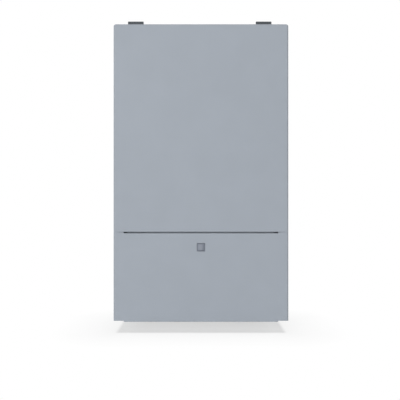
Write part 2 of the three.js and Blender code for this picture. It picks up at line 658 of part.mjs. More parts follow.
function latchHousing() {
  const outer = prism("y", square(cupHalf, latchZ), [skinY, cupBackY]);
  const hollow = prism("y", square(cupHalf - latch.wall, latchZ), [skinY - fit.overrun, cupBackY - latch.wall]);
  const ribY = skinY + latch.ribFront;
  const cupTopZ = latchZ + cupHalf;
  const rib = slab([-latch.leafWidth / 2, latch.leafWidth / 2], [ribY, ribY + latch.ribThick],
    [cupTopZ - latch.wall / 2, cupTopZ + latch.rib]);
  return join(cut(outer, hollow), rib);
}

// One unbroken coil of wire, with its ends cut square to the wire
class Coil extends THREE.Curve {
  constructor(radius, from, length, turns) {
    super();
    Object.assign(this, { radius, from, length, turns });
  }

  getPoint(share, target = new THREE.Vector3()) {
    const angle = 4 * quarterTurn * this.turns * share;
    return target.set(
      this.radius * Math.cos(angle), this.from + this.length * share, this.radius * Math.sin(angle));
  }
}

const springSteps = 8;
const springSides = 5;

function coilSpring(radius, wire, [from, to], turns) {
  const section = new THREE.Shape();
  section.absarc(0, 0, wire / 2, 0, 4 * quarterTurn);
  const path = new Coil(radius, from + wire, to - from - 2 * wire, turns);
  const steps = turns * springSteps;
  return new THREE.ExtrudeGeometry(section, { steps, extrudePath: path, curveSegments: springSides / 2 });
}

// The catch: a strip of spring steel on the control box whose hook drops in front of the latch rib
function catchSpring() {
  const half = latch.leafWidth / 2;
  const ribTop = latchZ + cupHalf + latch.rib;
  const leafZ = ribTop + latch.leaf;
  const hookY = skinY + latch.ribFront - latch.hookGap;
  const outline = [
    [boxFrontY + latch.footBack, boxTopZ], [boxFrontY + latch.footBack, leafZ + latch.leaf],
    [hookY - latch.leaf, leafZ + latch.leaf], [hookY - latch.leaf, leafZ + latch.leaf - latch.hook],
    [hookY, leafZ + latch.leaf - latch.hook], [hookY, leafZ],
    [boxFrontY + latch.footBack - latch.foot, leafZ], [boxFrontY + latch.footBack - latch.foot, boxTopZ],
  ];
  return prism("x", outline, [-half, half]);
}

piece(lowerGroup, "front_flap", frontFlap(), finish.powderCoat);
piece(lowerGroup, "latch_button", latchButton(), finish.buttonCoat, [0, 0, latchZ]);
piece(lowerGroup, "latch_housing", latchHousing(), finish.blackPlastic);
const springSpan = [rimBackY + fit.touch, cupBackY - latch.wall - fit.touch];
const latchSpring = coilSpring(latch.springRadius - latch.wire / 2, latch.wire, springSpan, latch.turns);
piece(lowerGroup, "latch_spring", latchSpring, finish.stainless, [0, 0, latchZ]);
const rodReach = halfWidth - hinge.end;
piece(lowerGroup, "hinge_rod", rod("x", [0, 0], hinge.rod, [-rodReach, rodReach], sides.small),
  finish.zincSteel, [0, hingeY, hingeZ]);

// Control box: it turns on the hinge rod and carries the fascia, the board and the instruments
const controlGroup = groupIn(boiler);
const boardHalf = boxInnerX - board.sideGap;
const fasciaY = boxFrontY - fascia.thick;
const boardRearY = boxRearY - board.stand;
const boardY = boardRearY - board.thick;

// The arm hangs below the box and ends in a round nose on the hinge rod
function armOutline(reachY, rootZ) {
  const shape = new THREE.Shape();
  shape.moveTo(reachY, rootZ);
  shape.lineTo(boxFrontY, rootZ);
  shape.lineTo(boxFrontY, boxFootZ);
  shape.lineTo(hingeY - noseRadius, hingeZ);
  shape.absarc(hingeY, hingeZ, noseRadius, 2 * quarterTurn, 3 * quarterTurn);
  shape.lineTo(hingeY + noseRadius, hingeZ - noseRadius);
  const hole = new THREE.Path();
  hole.absarc(hingeY, hingeZ, hingeHole, 0, 4 * quarterTurn);
  shape.holes.push(hole);
  return shape;
}

function controlBox() {
  const frame = shapeOf([
    [-boxHalf, boxFootZ], [boxHalf, boxFootZ], [boxHalf, boxTopZ], [-boxHalf, boxTopZ],
  ]);
  const hole = shapeOf([
    [-boxInnerX, boxFootZ + box.wall], [boxInnerX, boxFootZ + box.wall], [boxInnerX, boxTopZ - box.wall],
    [-boxInnerX, boxTopZ - box.wall],
  ]);
  frame.holes.push(hole);
  const walls = prism("y", frame, [boxFrontY, boxRearY]);
  const arm = armOutline(boxFrontY + box.armReach, boxFootZ + box.wall / 2);
  const arms = both((sign) => prism("x", arm, mirrored(sign, boxInnerX, boxHalf), sides.small / 2));
  return join(walls, ...arms);
}

function controlFascia() {
  const span = [fasciaY - fit.overrun, boxFrontY + fit.overrun];
  const holes = [
    rod("y", [heatingKnobX, rowZ], knob.shaft + fit.spin, span),
    rod("y", [waterKnobX, rowZ], knob.shaft + fit.spin, span),
    rod("y", [standbyX, rowZ], standby.radius + fit.run, span),
    rod("y", [gaugeX, rowZ], gauge.body + fit.run, span, sides.medium),
    prism("y", windowOutline(0), span),
  ];
  return cut(slab([-boxHalf, boxHalf], [fasciaY, boxFrontY], [boxFootZ, boxTopZ]), ...holes);
}

function windowOutline(grow) {
  const half = display.height / 2 + grow;
  return roundedRect(
    [displayX[0] - grow, displayX[1] + grow], [rowZ - half, rowZ + half], display.corner);
}

function displayWindow() {
  const pane = prism("y", windowOutline(-display.gap), [fasciaY, boxFrontY + display.gap]);
  const lipY = boxFrontY + display.gap;
  const lip = prism("y", windowOutline(display.lip), [lipY, lipY + display.thick]);
  return join(pane, lip);
}

function boxLid() {
  const lid = slab([-boxHalf, boxHalf], [boxRearY, lidRearY], [boxFootZ, boxTopZ]);
  const postX = boardHalf - box.postInset;
  const postZs = [boxFootZ + board.footRise + box.postDrop, boxTopZ - board.topDrop - box.postDrop];
  const posts = both((sign) => postZs.map((z) =>
    rod("y", [sign * postX, z], box.post, [boardRearY, boxRearY + box.lid / 2], sides.small)));
  return join(lid, ...posts.flat());
}

// Everything that stands on the board, as shares of its half width and of its height
const boardShares = {
  transformer: [-0.84, -0.5, 0.2, 0.75, 0.55], relays: [[-0.3, 0.78], [-0.15, 0.78], [0, 0.78]],
  relay: [0.05, 0.14, 0.3], capacitors: [[0.25, 0.82], [0.4, 0.82]], capacitor: [0.045, 0.45],
  plugs: [-0.9, 0.9, 0.06, 0.16, 0.24], chip: [0.1, 0.35, 0.35, 0.55, 0.06],
};

function circuitBoard() {
  const low = boxFootZ + board.footRise;
  const tall = boxTopZ - board.topDrop - low;
  const deep = boardY - boxFrontY;
  const xAt = (share) => share * boardHalf;
  const zAt = (share) => low + share * tall;
  const yAt = (share) => boardY - share * deep;
  const sunk = boardY + board.thick / 2;
  const block = ([left, right, bottom, top, high]) =>
    slab([xAt(left), xAt(right)], [yAt(high), sunk], [zAt(bottom), zAt(top)]);
  const plate = slab([-boardHalf, boardHalf], [boardY, boardRearY], [low, low + tall]);
  const [relayWide, relayTall, relayHigh] = boardShares.relay;
  const relays = boardShares.relays.map(([x, z]) =>
    block([x - relayWide, x + relayWide, z - relayTall, z + relayTall, relayHigh]));
  const [canRadius, canHigh] = boardShares.capacitor;
  const cans = boardShares.capacitors.map(([x, z]) =>
    rod("y", [xAt(x), zAt(z)], canRadius * boardHalf, [yAt(canHigh), sunk], sides.small));
  const knobSwitches = [heatingKnobX, waterKnobX].map((x) => {
    const half = knob.switchSize / 2;
    const right = Math.min(x + half, boardHalf);
    return slab([x - half, right], [boardY - knob.switchLength, sunk], [rowZ - half, rowZ + half]);
  });
  const half = standby.switchSize / 2;
  const button = slab([standbyX - half, standbyX + half], [boardY - standby.switchLength, sunk],
    [rowZ - half, rowZ + half]);
  return join(plate, block(boardShares.transformer), ...relays, ...cans, block(boardShares.plugs),
    block(boardShares.chip), ...knobSwitches, button);
}

function controlKnob() {
  const rearY = fasciaY - knob.gap;
  const faceY = rearY - knob.length;
  const edge = (knob.radius - knob.waist) / 2;
  const profile = [
    [0, faceY], [knob.waist - edge, faceY], [knob.waist, faceY + edge], [knob.waist, rearY - edge],
    [knob.radius, rearY - edge / 2], [knob.radius, rearY], [knob.shaft, rearY],
    [knob.shaft, boardY - knob.switchLength - fit.touch], [0, boardY - knob.switchLength - fit.touch],
  ];
  const body = turned("y", [0, 0], profile, sides.medium);
  const groove = slab([-knob.pointer / 2, knob.pointer / 2], [faceY - fit.overrun, faceY + knob.pointer / 2],
    [knob.waist / 2, knob.radius + fit.overrun]);
  return cut(body, groove);
}

function standbyButton() {
  const faceY = fasciaY - standby.proud;
  const rimAt = boxFrontY + knob.gap;
  const tipY = boardY - standby.switchLength - fit.touch - standby.travel;
  const rimRadius = standby.radius + standby.rim;
  const profile = [
    [0, faceY], [standby.radius - knob.gap, faceY], [standby.radius, faceY + knob.gap],
    [standby.radius, rimAt], [rimRadius, rimAt], [rimRadius, rimAt + standby.rim],
    [standby.plunger, rimAt + standby.rim], [standby.plunger, tipY], [0, tipY],
  ];
  return turned("y", [0, 0], profile, sides.coarse);
}

function gaugeBody() {
  const faceY = fasciaY - gauge.proud;
  const dialY = fasciaY + gauge.recess;
  const rearY = fasciaY + gauge.length;
  const profile = [
    [0, dialY], [gauge.body - fit.seam, dialY], [gauge.inner, faceY], [gauge.bezel, faceY],
    [gauge.bezel, fasciaY], [gauge.body, fasciaY], [gauge.body, rearY], [0, rearY],
  ];
  return turned("y", [0, 0], profile, sides.medium);
}

function gaugeNeedle() {
  const dialY = fasciaY + gauge.recess;
  const needleY = dialY - 2 * gauge.needleThick;
  const span = [needleY, needleY + gauge.needleThick];
  const hand = [
    [-gauge.needleWide / 2, -gauge.needleTail], [gauge.needleWide / 2, -gauge.needleTail],
    [gauge.needleWide / 2, 0], [gauge.needleWide / 4, gauge.needle], [-gauge.needleWide / 4, gauge.needle],
    [-gauge.needleWide / 2, 0],
  ];
  const hub = rod("y", [0, 0], gauge.hub, span, sides.small);
  const pin = rod("y", [0, 0], gauge.pin, [needleY, dialY - fit.touch], sides.small);
  return join(prism("y", hand, span), hub, pin);
}

piece(controlGroup, "control_box", controlBox(), finish.greyPlastic);
piece(controlGroup, "control_fascia", controlFascia(), finish.palePlastic);
piece(controlGroup, "control_box_lid", boxLid(), finish.greyPlastic);
piece(controlGroup, "circuit_board", circuitBoard(), finish.circuitGreen);
piece(controlGroup, "display_window", displayWindow(), finish.glass);
piece(controlGroup, "heating_knob", controlKnob(), finish.whitePlastic, [heatingKnobX, 0, rowZ]);
piece(controlGroup, "hot_water_knob", controlKnob(), finish.whitePlastic, [waterKnobX, 0, rowZ]);
piece(controlGroup, "standby_button", standbyButton(), finish.whitePlastic, [standbyX, 0, rowZ]);
piece(controlGroup, "gauge_body", gaugeBody(), finish.whitePlastic, [gaugeX, 0, rowZ]);
piece(controlGroup, "gauge_needle", gaugeNeedle(), finish.blackPlastic, [gaugeX, 0, rowZ]);
piece(controlGroup, "catch_spring", catchSpring(), finish.stainless);

// Heat side: the drum with what it holds, and the flue above it
const heatGroup = groupIn(boiler);
const pipeTopZ = topZ + flue.topAbove;
const ledgeZ = neckTopZ - flue.ledge;
const spread = drum.standSpread;

function exchangerShell() {
  const inner = drum.radius - drum.wall;
  const pot = turned("y", [drumX, drumZ], [
    [0, drumRearY], [drum.radius, drumRearY], [drum.radius, drumFrontY], [drum.mouth, drumFrontY],
    [drum.mouth, drumFrontY + drum.wall], [inner, drumFrontY + drum.wall], [inner, drumRearY - drum.wall],
    [0, drumRearY - drum.wall],
  ], sides.fine);
  const stands = both((sign) => [-spread, spread].map((rise) =>
    rod("y", [drumX + sign * spread, drumZ + rise], drum.standRadius, [drumRearY - drum.wall / 2, wallPlateY],
      sides.small)));
  const spigots = both((sign) => rod("z", [drumX + sign * spigot.spread, spigotY], spigot.radius,
    [spigotEndZ, drumUnder(spigot.spread) + spigot.root], sides.small));
  const spoutRod = rod("z", [spoutX, spoutY], spout.radius,
    [spoutEndZ, drumUnder(spout.shift) + spout.root], sides.small);
  const neck = rod("z", [drumX, flueY], flue.pipe + drum.wall, [drumZ + drum.radius / 2, neckTopZ],
    sides.medium);
  const trimmedNeck = cut(neck, rod("y", [drumX, drumZ], inner, [drumFrontY, drumRearY], sides.fine));
  const throat = rod("z", [drumX, flueY], flue.pipe - drum.wall, [drumZ, neckTopZ + fit.overrun]);
  const seat = rod("z", [drumX, flueY], flue.pipe + fit.run, [ledgeZ, neckTopZ + fit.overrun], sides.medium);
  return cut(join(pot, ...stands.flat(), ...spigots, spoutRod, trimmedNeck), throat, seat);
}

// The coil is one ring with a groove between every two turns, outside and inside
function exchangerCoil() {
  const rearY = drumRearY - drum.wall - fit.touch;
  const coilLength = rearY - drumFrontY - coil.frontGap;
  const pitch = coilLength / coil.ringCount;
  const outside = [];
  const inside = [];
  for (let i = 0; i < coil.ringCount; i++) {
    const near = rearY - i * pitch;
    outside.push([coil.outer - coil.groove, near], [coil.outer, near - pitch / 2]);
    inside.push([coil.inner + coil.groove, near], [coil.inner, near - pitch / 2]);
  }
  outside.push([coil.outer - coil.groove, rearY - coilLength]);
  inside.push([coil.inner + coil.groove, rearY - coilLength]);
  return turned("y", [drumX, drumZ], [...outside, ...inside.reverse()], sides.coarse);
}

function burnerDoor() {
  const disc = rod("y", [drumX, drumZ], drum.doorRadius, [doorY, drumFrontY], sides.medium);
  const span = [doorY - fit.overrun, drumFrontY + fit.overrun];
  const inlet = rod("y", [drumX, drumZ], burner.inlet, span, sides.coarse);
  const electrodeHole = rod("y", [electrodeX, electrodeZ], electrode.radius + fit.run, span, sides.small);
  return cut(disc, inlet, electrodeHole);
}

function burnerTube() {
  const endY = drumRearY - drum.wall - burner.endGap;
  const inner = burner.radius - burner.wall;
  return turned("y", [drumX, drumZ], [
    [0, endY], [burner.radius, endY], [burner.radius, drumFrontY + burner.flangeThick],
    [burner.flange, drumFrontY + burner.flangeThick], [burner.flange, drumFrontY], [inner, drumFrontY],
    [inner, endY - burner.wall], [0, endY - burner.wall],
  ], sides.coarse);
}

function electrodeRod() {
  const headY = doorY - electrode.front;
  return turned("y", [electrodeX, electrodeZ], [
    [0, headY - electrode.postLength], [electrode.post, headY - electrode.postLength], [electrode.post, headY],
    [electrode.radius, headY], [electrode.radius, doorY - electrode.flangeThick],
    [electrode.flange, doorY - electrode.flangeThick], [electrode.flange, doorY], [electrode.radius, doorY],
    [electrode.radius, drumFrontY + electrode.radius], [electrode.tip, drumFrontY + electrode.radius],
    [electrode.tip, drumFrontY + electrode.tipLength], [0, drumFrontY + electrode.tipLength],
  ], sides.small);
}

function ignitionUnit() {
  const body = prism("y", roundedRect(ignitionX, ignitionZ, casing.bend), [ignitionY, wallPlateY]);
  const middle = [(ignitionX[0] + ignitionX[1]) / 2, (ignitionZ[0] + ignitionZ[1]) / 2];
  const socketSpan = [ignitionY - ignition.socketLength, ignitionY + ignition.socketLength];
  return join(body, rod("y", middle, ignition.socket, socketSpan, sides.small));
}

// The ignition lead's route, chosen by hand, from the ignition unit to the electrode
const leadRoute = [
  [160, -44.5, -125], [160, -62, -125], [152, -110, -112], [120, -165, -100], [75, -205, -96], [30, -228, -108],
  [0, -242, -132], [-20, -250, -156], [-31, -247, -174], [-34, -236, -181], [-34, -219.3, -181],
];

function ignitionLead() {
  const places = leadRoute.map((place) => new THREE.Vector3(...place));
  const path = new THREE.CatmullRomCurve3(places, false, "centripetal");
  const section = new THREE.Shape();
  section.absarc(0, 0, lead.radius, 0, 4 * quarterTurn);
  const settings = { steps: lead.steps, extrudePath: path, curveSegments: sides.small / 2 };
  return new THREE.ExtrudeGeometry(section, settings);
}

function flueCollar() {
  const topAt = topZ + collar.rise;
  const flangeTop = underTopZ + collar.flangeThick;
  const skirtZ = underTopZ - collar.skirt;
  return turned("z", [drumX, flueY], [
    [collar.inner, skirtZ], [collar.outer, skirtZ], [collar.outer, underTopZ], [collar.flange, underTopZ],
    [collar.flange, flangeTop], [collar.outer, flangeTop], [collar.outer, topAt], [collar.inner, topAt],
  ], sides.fine);
}

piece(heatGroup, "exchanger_shell", exchangerShell(), finish.stainless);
piece(heatGroup, "exchanger_coil", exchangerCoil(), finish.stainless);
piece(heatGroup, "burner_door", burnerDoor(), finish.castAluminium);
piece(heatGroup, "burner_tube", burnerTube(), finish.stainless);
piece(heatGroup, "ignition_electrode", electrodeRod(), finish.ceramic);
piece(heatGroup, "ignition_unit", ignitionUnit(), finish.blackPlastic);
piece(heatGroup, "ignition_lead", ignitionLead(), finish.redPlastic);
const pipeSpan = [ledgeZ + fit.touch, pipeTopZ];
const fluePipe = ring("z", [drumX, flueY], [flue.pipe - flue.pipeWall, flue.pipe], pipeSpan);
piece(heatGroup, "flue_pipe", fluePipe, finish.whitePlastic);
piece(heatGroup, "flue_collar", flueCollar(), finish.blackPlastic);

// Air and gas side: silencer, mixer, fan and elbow pass the air on to the burner
const airGroup = groupIn(boiler);
const elbowLeftX = drumX - burner.inlet - elbow.side;
const elbowSlopeX = drumX + elbow.slopeX;
const elbowTopZ = drumZ + burner.inlet + fan.wall;
const elbowStepZ = drumZ - burner.inlet - fan.wall;
const elbowSlopeZ = drumZ - elbow.slopeDrop;
const elbowThroatZ = drumZ - elbow.throatDrop;

function fanHousing() {
  const reach = fan.radius - fan.wall;
  const outer = join(
    rod("y", [fanX, fanZ], fan.radius, [fanFrontY, doorY], sides.fine),
    slab([outletLeftX, fanRightX], [fanFrontY, doorY], [fanZ, outletTopZ]));
  const hollowY = [fanFrontY + fan.wall, doorY - fan.wall];
  const hollow = join(
    rod("y", [fanX, fanZ], reach, hollowY, sides.fine),
    slab([outletLeftX + fan.wall, fanRightX - fan.wall], hollowY, [fanZ, outletTopZ + fit.overrun]));
  const inlet = rod("y", [fanX, fanZ], fan.inlet, [doorY - 2 * fan.wall, doorY + fit.overrun], sides.coarse);
  const shaftSpan = [fanFrontY - fit.overrun, fanFrontY + 2 * fan.wall];
  const shaft = rod("y", [fanX, fanZ], shaftHole, shaftSpan, sides.small);
  return cut(outer, hollow, inlet, shaft);
}

// A wheel with a back plate, straight blades and a shroud ring, on its shaft
function fanWheel() {
  const plateY = fanFrontY + fan.wall + fan.frontGap;
  const shroudY = doorY - fan.wall - fan.rearGap;
  const plate = rod("y", [0, 0], fan.wheel, [plateY, plateY + fan.plate], sides.medium);
  const shroud = ring("y", [0, 0], [fan.hub, fan.wheel], [shroudY - fan.plate, shroudY]);
  const shaft = rod("y", [0, 0], fan.shaft, [fanFrontY - fanMotor.pocket + fit.touch, plateY + fan.plate / 2],
    sides.small);
  const half = fan.bladeThick / 2;
  const bladeSpan = [plateY + fan.plate / 2, shroudY - fan.plate / 2];
  const blades = Array.from({ length: fan.bladeCount }, (_, i) => {
    const blade = slab([fan.hub + half, fan.wheel - half], bladeSpan, [-half, half]);
    return blade.rotateY((4 * quarterTurn * i) / fan.bladeCount);
  });
  return join(plate, shroud, shaft, ...blades);
}

function fanMotorCan() {
  const rearY = fanFrontY - fanMotor.length;
  return turned("y", [fanX, fanZ], [
    [0, rearY], [fanMotor.radius - fanMotor.edge, rearY], [fanMotor.radius, rearY + fanMotor.edge],
    [fanMotor.radius, fanFrontY - fanMotor.rimThick], [fanMotor.rim, fanFrontY - fanMotor.rimThick],
    [fanMotor.rim, fanFrontY], [shaftHole, fanFrontY], [shaftHole, fanFrontY - fanMotor.pocket],
    [0, fanFrontY - fanMotor.pocket],
  ], sides.coarse);
}

// The elbow carries the mixture up from the fan and back into the burner door
function burnerElbow() {
  const outline = [
    [outletLeftX, outletTopZ], [fanRightX, outletTopZ], [fanRightX, elbowSlopeZ],
    [elbowSlopeX, elbowTopZ], [elbowLeftX, elbowTopZ], [elbowLeftX, elbowStepZ],
    [outletLeftX, elbowThroatZ],
  ];
  const w = fan.wall;
  const inside = [
    [outletLeftX + w, outletTopZ - fit.overrun], [fanRightX - w, outletTopZ - fit.overrun],
    [fanRightX - w, elbowSlopeZ - w / 2], [elbowSlopeX - w / 2, elbowTopZ - w], [elbowLeftX + w, elbowTopZ - w],
    [elbowLeftX + w, elbowStepZ + w / 2], [outletLeftX + w, elbowThroatZ + w / 2],
  ];
  const shell = prism("y", outline, [fanFrontY, doorY]);
  const hollow = prism("y", inside, [fanFrontY + w, doorY - w]);
  const outlet = rod("y", [drumX, drumZ], burner.inlet, [doorY - 2 * w, doorY + fit.overrun], sides.coarse);
  return cut(shell, hollow, outlet);
}

function gasMixer() {
  const body = turned("y", [fanX, fanZ], [
    [0, doorY], [mixer.flange, doorY], [mixer.flange, doorY + mixer.flangeThick],
    [mixer.radius, doorY + mixer.flangeThick], [mixer.radius, mixerEndY], [0, mixerEndY],
  ]);
  const arm = rod("x", [doorY + mixer.armBack, fanZ], mixer.arm, [fanX, valveX[0] - fit.touch], sides.small);
  const bore = rod("y", [fanX, fanZ], mixer.radius - mixer.wall, [doorY - fit.overrun, mixerEndY + fit.overrun],
    sides.coarse);
  return cut(join(body, arm), bore);
}

function airSilencer() {
  const [nearY, farY] = silencerY;
  const [left, right] = silencerX;
  const [low, high] = silencerZ;
  const w = silencer.wall;
  const outer = prism("y", roundedRect([left, right], [low, high], casing.bend), silencerY);
  const hollow = slab([left + w, right - w], [nearY + w, farY - w], [low + w, high - w]);
  const outletSpan = [nearY - fit.overrun, nearY + 2 * w];
  const outlet = rod("y", [fanX, fanZ], mixer.radius - mixer.wall, outletSpan, sides.coarse);
  const intakeX = [left + silencer.intakeInset, left + silencer.intakeInset + silencer.intake];
  const intakeY = [nearY + (farY - nearY) / 4, farY - (farY - nearY) / 4];
  const intake = slab(intakeX, intakeY, [low - fit.overrun, low + 2 * w]);
  return cut(outer, hollow, outlet, intake);
}

function gasValveBody() {
  const [left, right] = valveX;
  const [frontAt, rearAt] = valveY;
  const [low, high] = valveZ;
  const body = prism("y", roundedRect([left, right], [low, high], casing.bend), [frontAt, rearAt]);
  const portSpan = [low - gasValve.portDrop, low + gasValve.portDrop];
  const port = rod("z", [portX, portY], gasValve.port, portSpan, sides.small);
  const middle = (left + right) / 2;
  const solenoidSpan = [frontAt - gasValve.knobLength, frontAt + casing.bend];
  const solenoid = rod("y", [middle, (low + high) / 2], gasValve.knobRadius, solenoidSpan);
  const cap = slab([middle - gasValve.coilWide / 2, middle + gasValve.coilWide / 2],
    [frontAt + casing.bend, rearAt - casing.bend], [high - casing.bend, high + gasValve.coilRise]);
  return join(body, port, solenoid, cap);
}

piece(airGroup, "fan_housing", fanHousing(), finish.castAluminium);
piece(airGroup, "fan_wheel", fanWheel(), finish.zincSteel, [fanX, 0, fanZ]);
piece(airGroup, "fan_motor", fanMotorCan(), finish.blackPlastic);
piece(airGroup, "burner_elbow", burnerElbow(), finish.castAluminium);
piece(airGroup, "gas_mixer", gasMixer(), finish.castAluminium);
piece(airGroup, "air_silencer", airSilencer(), finish.blackPlastic);
piece(airGroup, "gas_valve", gasValveBody(), finish.castAluminium);

// Water side: blocks, plate exchanger, pump and pipes stand on the bottom tray
const waterGroup = groupIn(boiler);

function bottomTray() {
  const half = innerX - casing.sheet;
  const floor = slab([-half, half], [trayFrontY, wallPlateY], [trayZ, trayTopZ]);
  const flanks = both((sign) => slab(
    mirrored(sign, half - casing.sheet, half), [trayFrontY, wallPlateY], [trayZ, trayZ + tray.flange]));
  const lip = slab([-half, half], [trayFrontY, trayFrontY + casing.sheet], [trayZ, trayZ + tray.lip]);
  const arm = trayArm();
  const arms = both((sign) => prism("x", arm, mirrored(sign, ...trayArmX), sides.small / 2));
  const span = [trayZ - fit.overrun, trayTopZ + fit.overrun];
  const waterHoles = [heatingFlowX, hotWaterX, coldWaterX, returnX].map((x) =>
    rod("z", [x, stubY], stub.radius + stub.holeGap, span));
  const gasHole = rod("z", [gasX, stubY], pipe.gasRadius + stub.holeGap, span);
  const trapHole = rod("z", [trapX, trapY], trap.cup + trap.holeGap, span);
  const tapHole = rod("z", [tapX, tapY], filling.housing + filling.holeGap, span, sides.small);
  return cut(join(floor, ...flanks, lip, ...arms), ...waterHoles, gasHole, trapHole, tapHole);
}

function trayArm() {
  const shape = new THREE.Shape();
  const rootY = trayFrontY + tray.lip;
  shape.moveTo(rootY, trayZ + casing.sheet / 2);
  shape.lineTo(rootY, trayZ + tray.lip);
  shape.lineTo(trayFrontY, trayZ + tray.lip);
  shape.lineTo(hingeY + noseRadius, hingeZ + tray.kneeShare * noseRadius);
  shape.lineTo(hingeY, hingeZ + noseRadius);
  shape.absarc(hingeY, hingeZ, noseRadius, quarterTurn, (4 + tray.noseEndShare) * quarterTurn);
  shape.lineTo(hingeY + noseRadius + fit.seam, hingeZ + noseRadius + fit.seam);
  shape.lineTo(trayFrontY, trayZ);
  shape.lineTo(trayFrontY, trayZ + casing.sheet / 2);
  const hole = new THREE.Path();
  hole.absarc(hingeY, hingeZ, hingeHole, 0, 4 * quarterTurn);
  shape.holes.push(hole);
  return shape;
}

function waterStub(x) {
  const shoulderTop = blockZ[0] + block.corner;
  return join(
    rod("z", [x, stubY], stub.radius, [stubEndZ, shoulderTop]),
    rod("z", [x, stubY], stub.shoulder, [trayTopZ, shoulderTop], sides.nut));
}

function stubBore(x) {
  return rod("z", [x, stubY], stub.bore, [stubEndZ - fit.overrun, stubEndZ + stub.depth]);
}

function blockBody(xs, [low, high]) {
  const outline = roundedRect(xs, [low, high], block.corner);
  return prism("y", outline, blockY);
}

function diverterBlock() {
  const boss = rod("z", [heatingFlowX, inletY], diverter.inletRadius,
    [blockZ[1] - block.corner, inletTopZ]);
  const nose = rod("y", [noseX, noseZ], diverter.nose,
    [blockY[0] - diverter.noseLength, blockY[0] + block.corner]);
  const stubs = [heatingFlowX, hotWaterX].map(waterStub);
  const bores = [heatingFlowX, hotWaterX].map(stubBore);
  return cut(join(blockBody(diverterX, blockZ), boss, nose, ...stubs), ...bores);
}

function diverterMotor() {
  const half = diverter.motor / 2;
  const tall = diverter.motorTall / 2;
  const outline = roundedRect([noseX - half, noseX + half],
    [noseZ - tall, noseZ + tall], diverter.corner);
  const rearAt = blockY[0] - diverter.noseLength;
  return prism("y", outline, [lidRearY + diverter.motorGap, rearAt]);
}

// A stack of plates: the outline steps in between every two ribs
function plateExchanger() {
  const [frontAt, rearAt] = plateY;
  const pitch = (rearAt - frontAt) / plates.ribCount;
  const inset = (by) => roundedRect(
    [by - plateHalf, plateHalf - by], [plateZ[0] + by, plateZ[1] - by], plates.corner - by);
  const core = prism("y", inset(plates.rib), [frontAt, rearAt], 1);
  const ribs = Array.from({ length: plates.ribCount }, (_, i) => {
    const nearY = i ? frontAt + i * pitch + plates.rib / 2 : frontAt;
    return prism("y", inset(0), [nearY, nearY + pitch / 2], 1);
  });
  return join(core, ...ribs);
}

function pumpBody() {
  const outer = join(
    blockBody(pumpX, blockZ),
    rod("y", [wheelX, wheelZ], pump.volute, [blockY[0], blockY[1]], sides.medium),
    rod("z", [outletX, outletY], pump.outletRadius, [wheelZ, pumpOutletZ]),
    rod("y", [reliefX, reliefZ], relief.boss, [reliefMouthY, blockY[1]]),
    rod("z", [tapX, tapY], filling.housing, [tapMouthZ, blockZ[0] + block.corner], sides.small),
    ...[coldWaterX, returnX].map(waterStub));
  const open = blockY[0] - fit.overrun;
  const cavity = rod("y", [wheelX, wheelZ], pump.cavity, [open, blockY[0] + pump.cavityDepth],
    sides.medium);
  const reliefHole = rod("y", [reliefX, reliefZ], relief.stem + fit.spin,
    [reliefMouthY - fit.overrun, reliefMouthY + relief.stemLength + fit.run], sides.small);
  const tapSpan = [tapMouthZ - fit.overrun, trayZ];
  const tapHole = rod("z", [tapX, tapY], filling.stem + fit.spin, tapSpan, sides.small);
  return cut(outer, cavity, reliefHole, tapHole, ...[coldWaterX, returnX].map(stubBore));
}

function pumpMotor() {
  const flangeY = blockY[0] - pump.flangeThick;
  const nearY = lidRearY + pump.motorGap;
  return turned("y", [wheelX, wheelZ], [
    [0, nearY], [pump.motor - block.corner, nearY], [pump.motor, nearY + block.corner], [pump.motor, flangeY],
    [pump.motorFlange, flangeY], [pump.motorFlange, blockY[0]], [pumpShaftHole, blockY[0]],
    [pumpShaftHole, blockY[0] - pump.pocket], [0, blockY[0] - pump.pocket],
  ]);
}

function pumpWheel() {
  const nearY = blockY[0] + pump.wheelFront;
  const farY = nearY + pump.wheelDepth;
  const plate = rod("y", [0, 0], pump.wheel, [nearY, nearY + pump.plate], sides.medium);
  const shroud = ring("y", [0, 0], [pump.hub, pump.wheel], [farY - pump.plate, farY], sides.medium);
  const shaft = rod("y", [0, 0], pump.shaft, [blockY[0] - pump.pocket + fit.touch, nearY + pump.plate / 2],
    sides.small);
  const half = pump.vane / 2;
  const vanes = Array.from({ length: pump.vaneCount }, (_, i) => {
    const vane = slab([pump.hub + half, pump.wheel - half], [nearY + half, farY - half], [-half, half]);
    return vane.rotateY((4 * quarterTurn * i) / pump.vaneCount);
  });
  return join(plate, shroud, shaft, ...vanes);
}

const lobeShare = 0.06;
const pointsPerLobe = 4;

// A hand knob with a lobed rim, drawn out along its own axis, with a plain stem behind it
function lobedKnob(axis, radius, lobes, [near, far], stemRadius, stemFar) {
  const outline = new THREE.Shape();
  const points = lobes * pointsPerLobe;
  for (let i = 0; i < points; i++) {
    const angle = (4 * quarterTurn * i) / points;
    const reach = radius * (1 - lobeShare * (1 - Math.cos(lobes * angle)));
    const at = [reach * Math.cos(angle), reach * Math.sin(angle)];
    if (i) outline.lineTo(...at);
    else outline.moveTo(...at);
  }
  const [low, high] = [Math.min(near, far), Math.max(near, far)];
  const stem = [Math.min((near + far) / 2, stemFar), Math.max((near + far) / 2, stemFar)];
  return join(prism(axis, outline, [low, high]), rod(axis, [0, 0], stemRadius, stem, sides.small));
}


function reliefKnob() {
  const rearAt = reliefMouthY - fit.run;
  return lobedKnob("y", relief.knob, relief.lobeCount, [rearAt - relief.length, rearAt], relief.stem,
    reliefMouthY + relief.stemLength);
}

function fillingKnob() {
  const high = tapMouthZ - fit.run;
  return lobedKnob("z", filling.knob, filling.lobeCount, [high - filling.length, high], filling.stem,
    trayZ - fit.run);
}

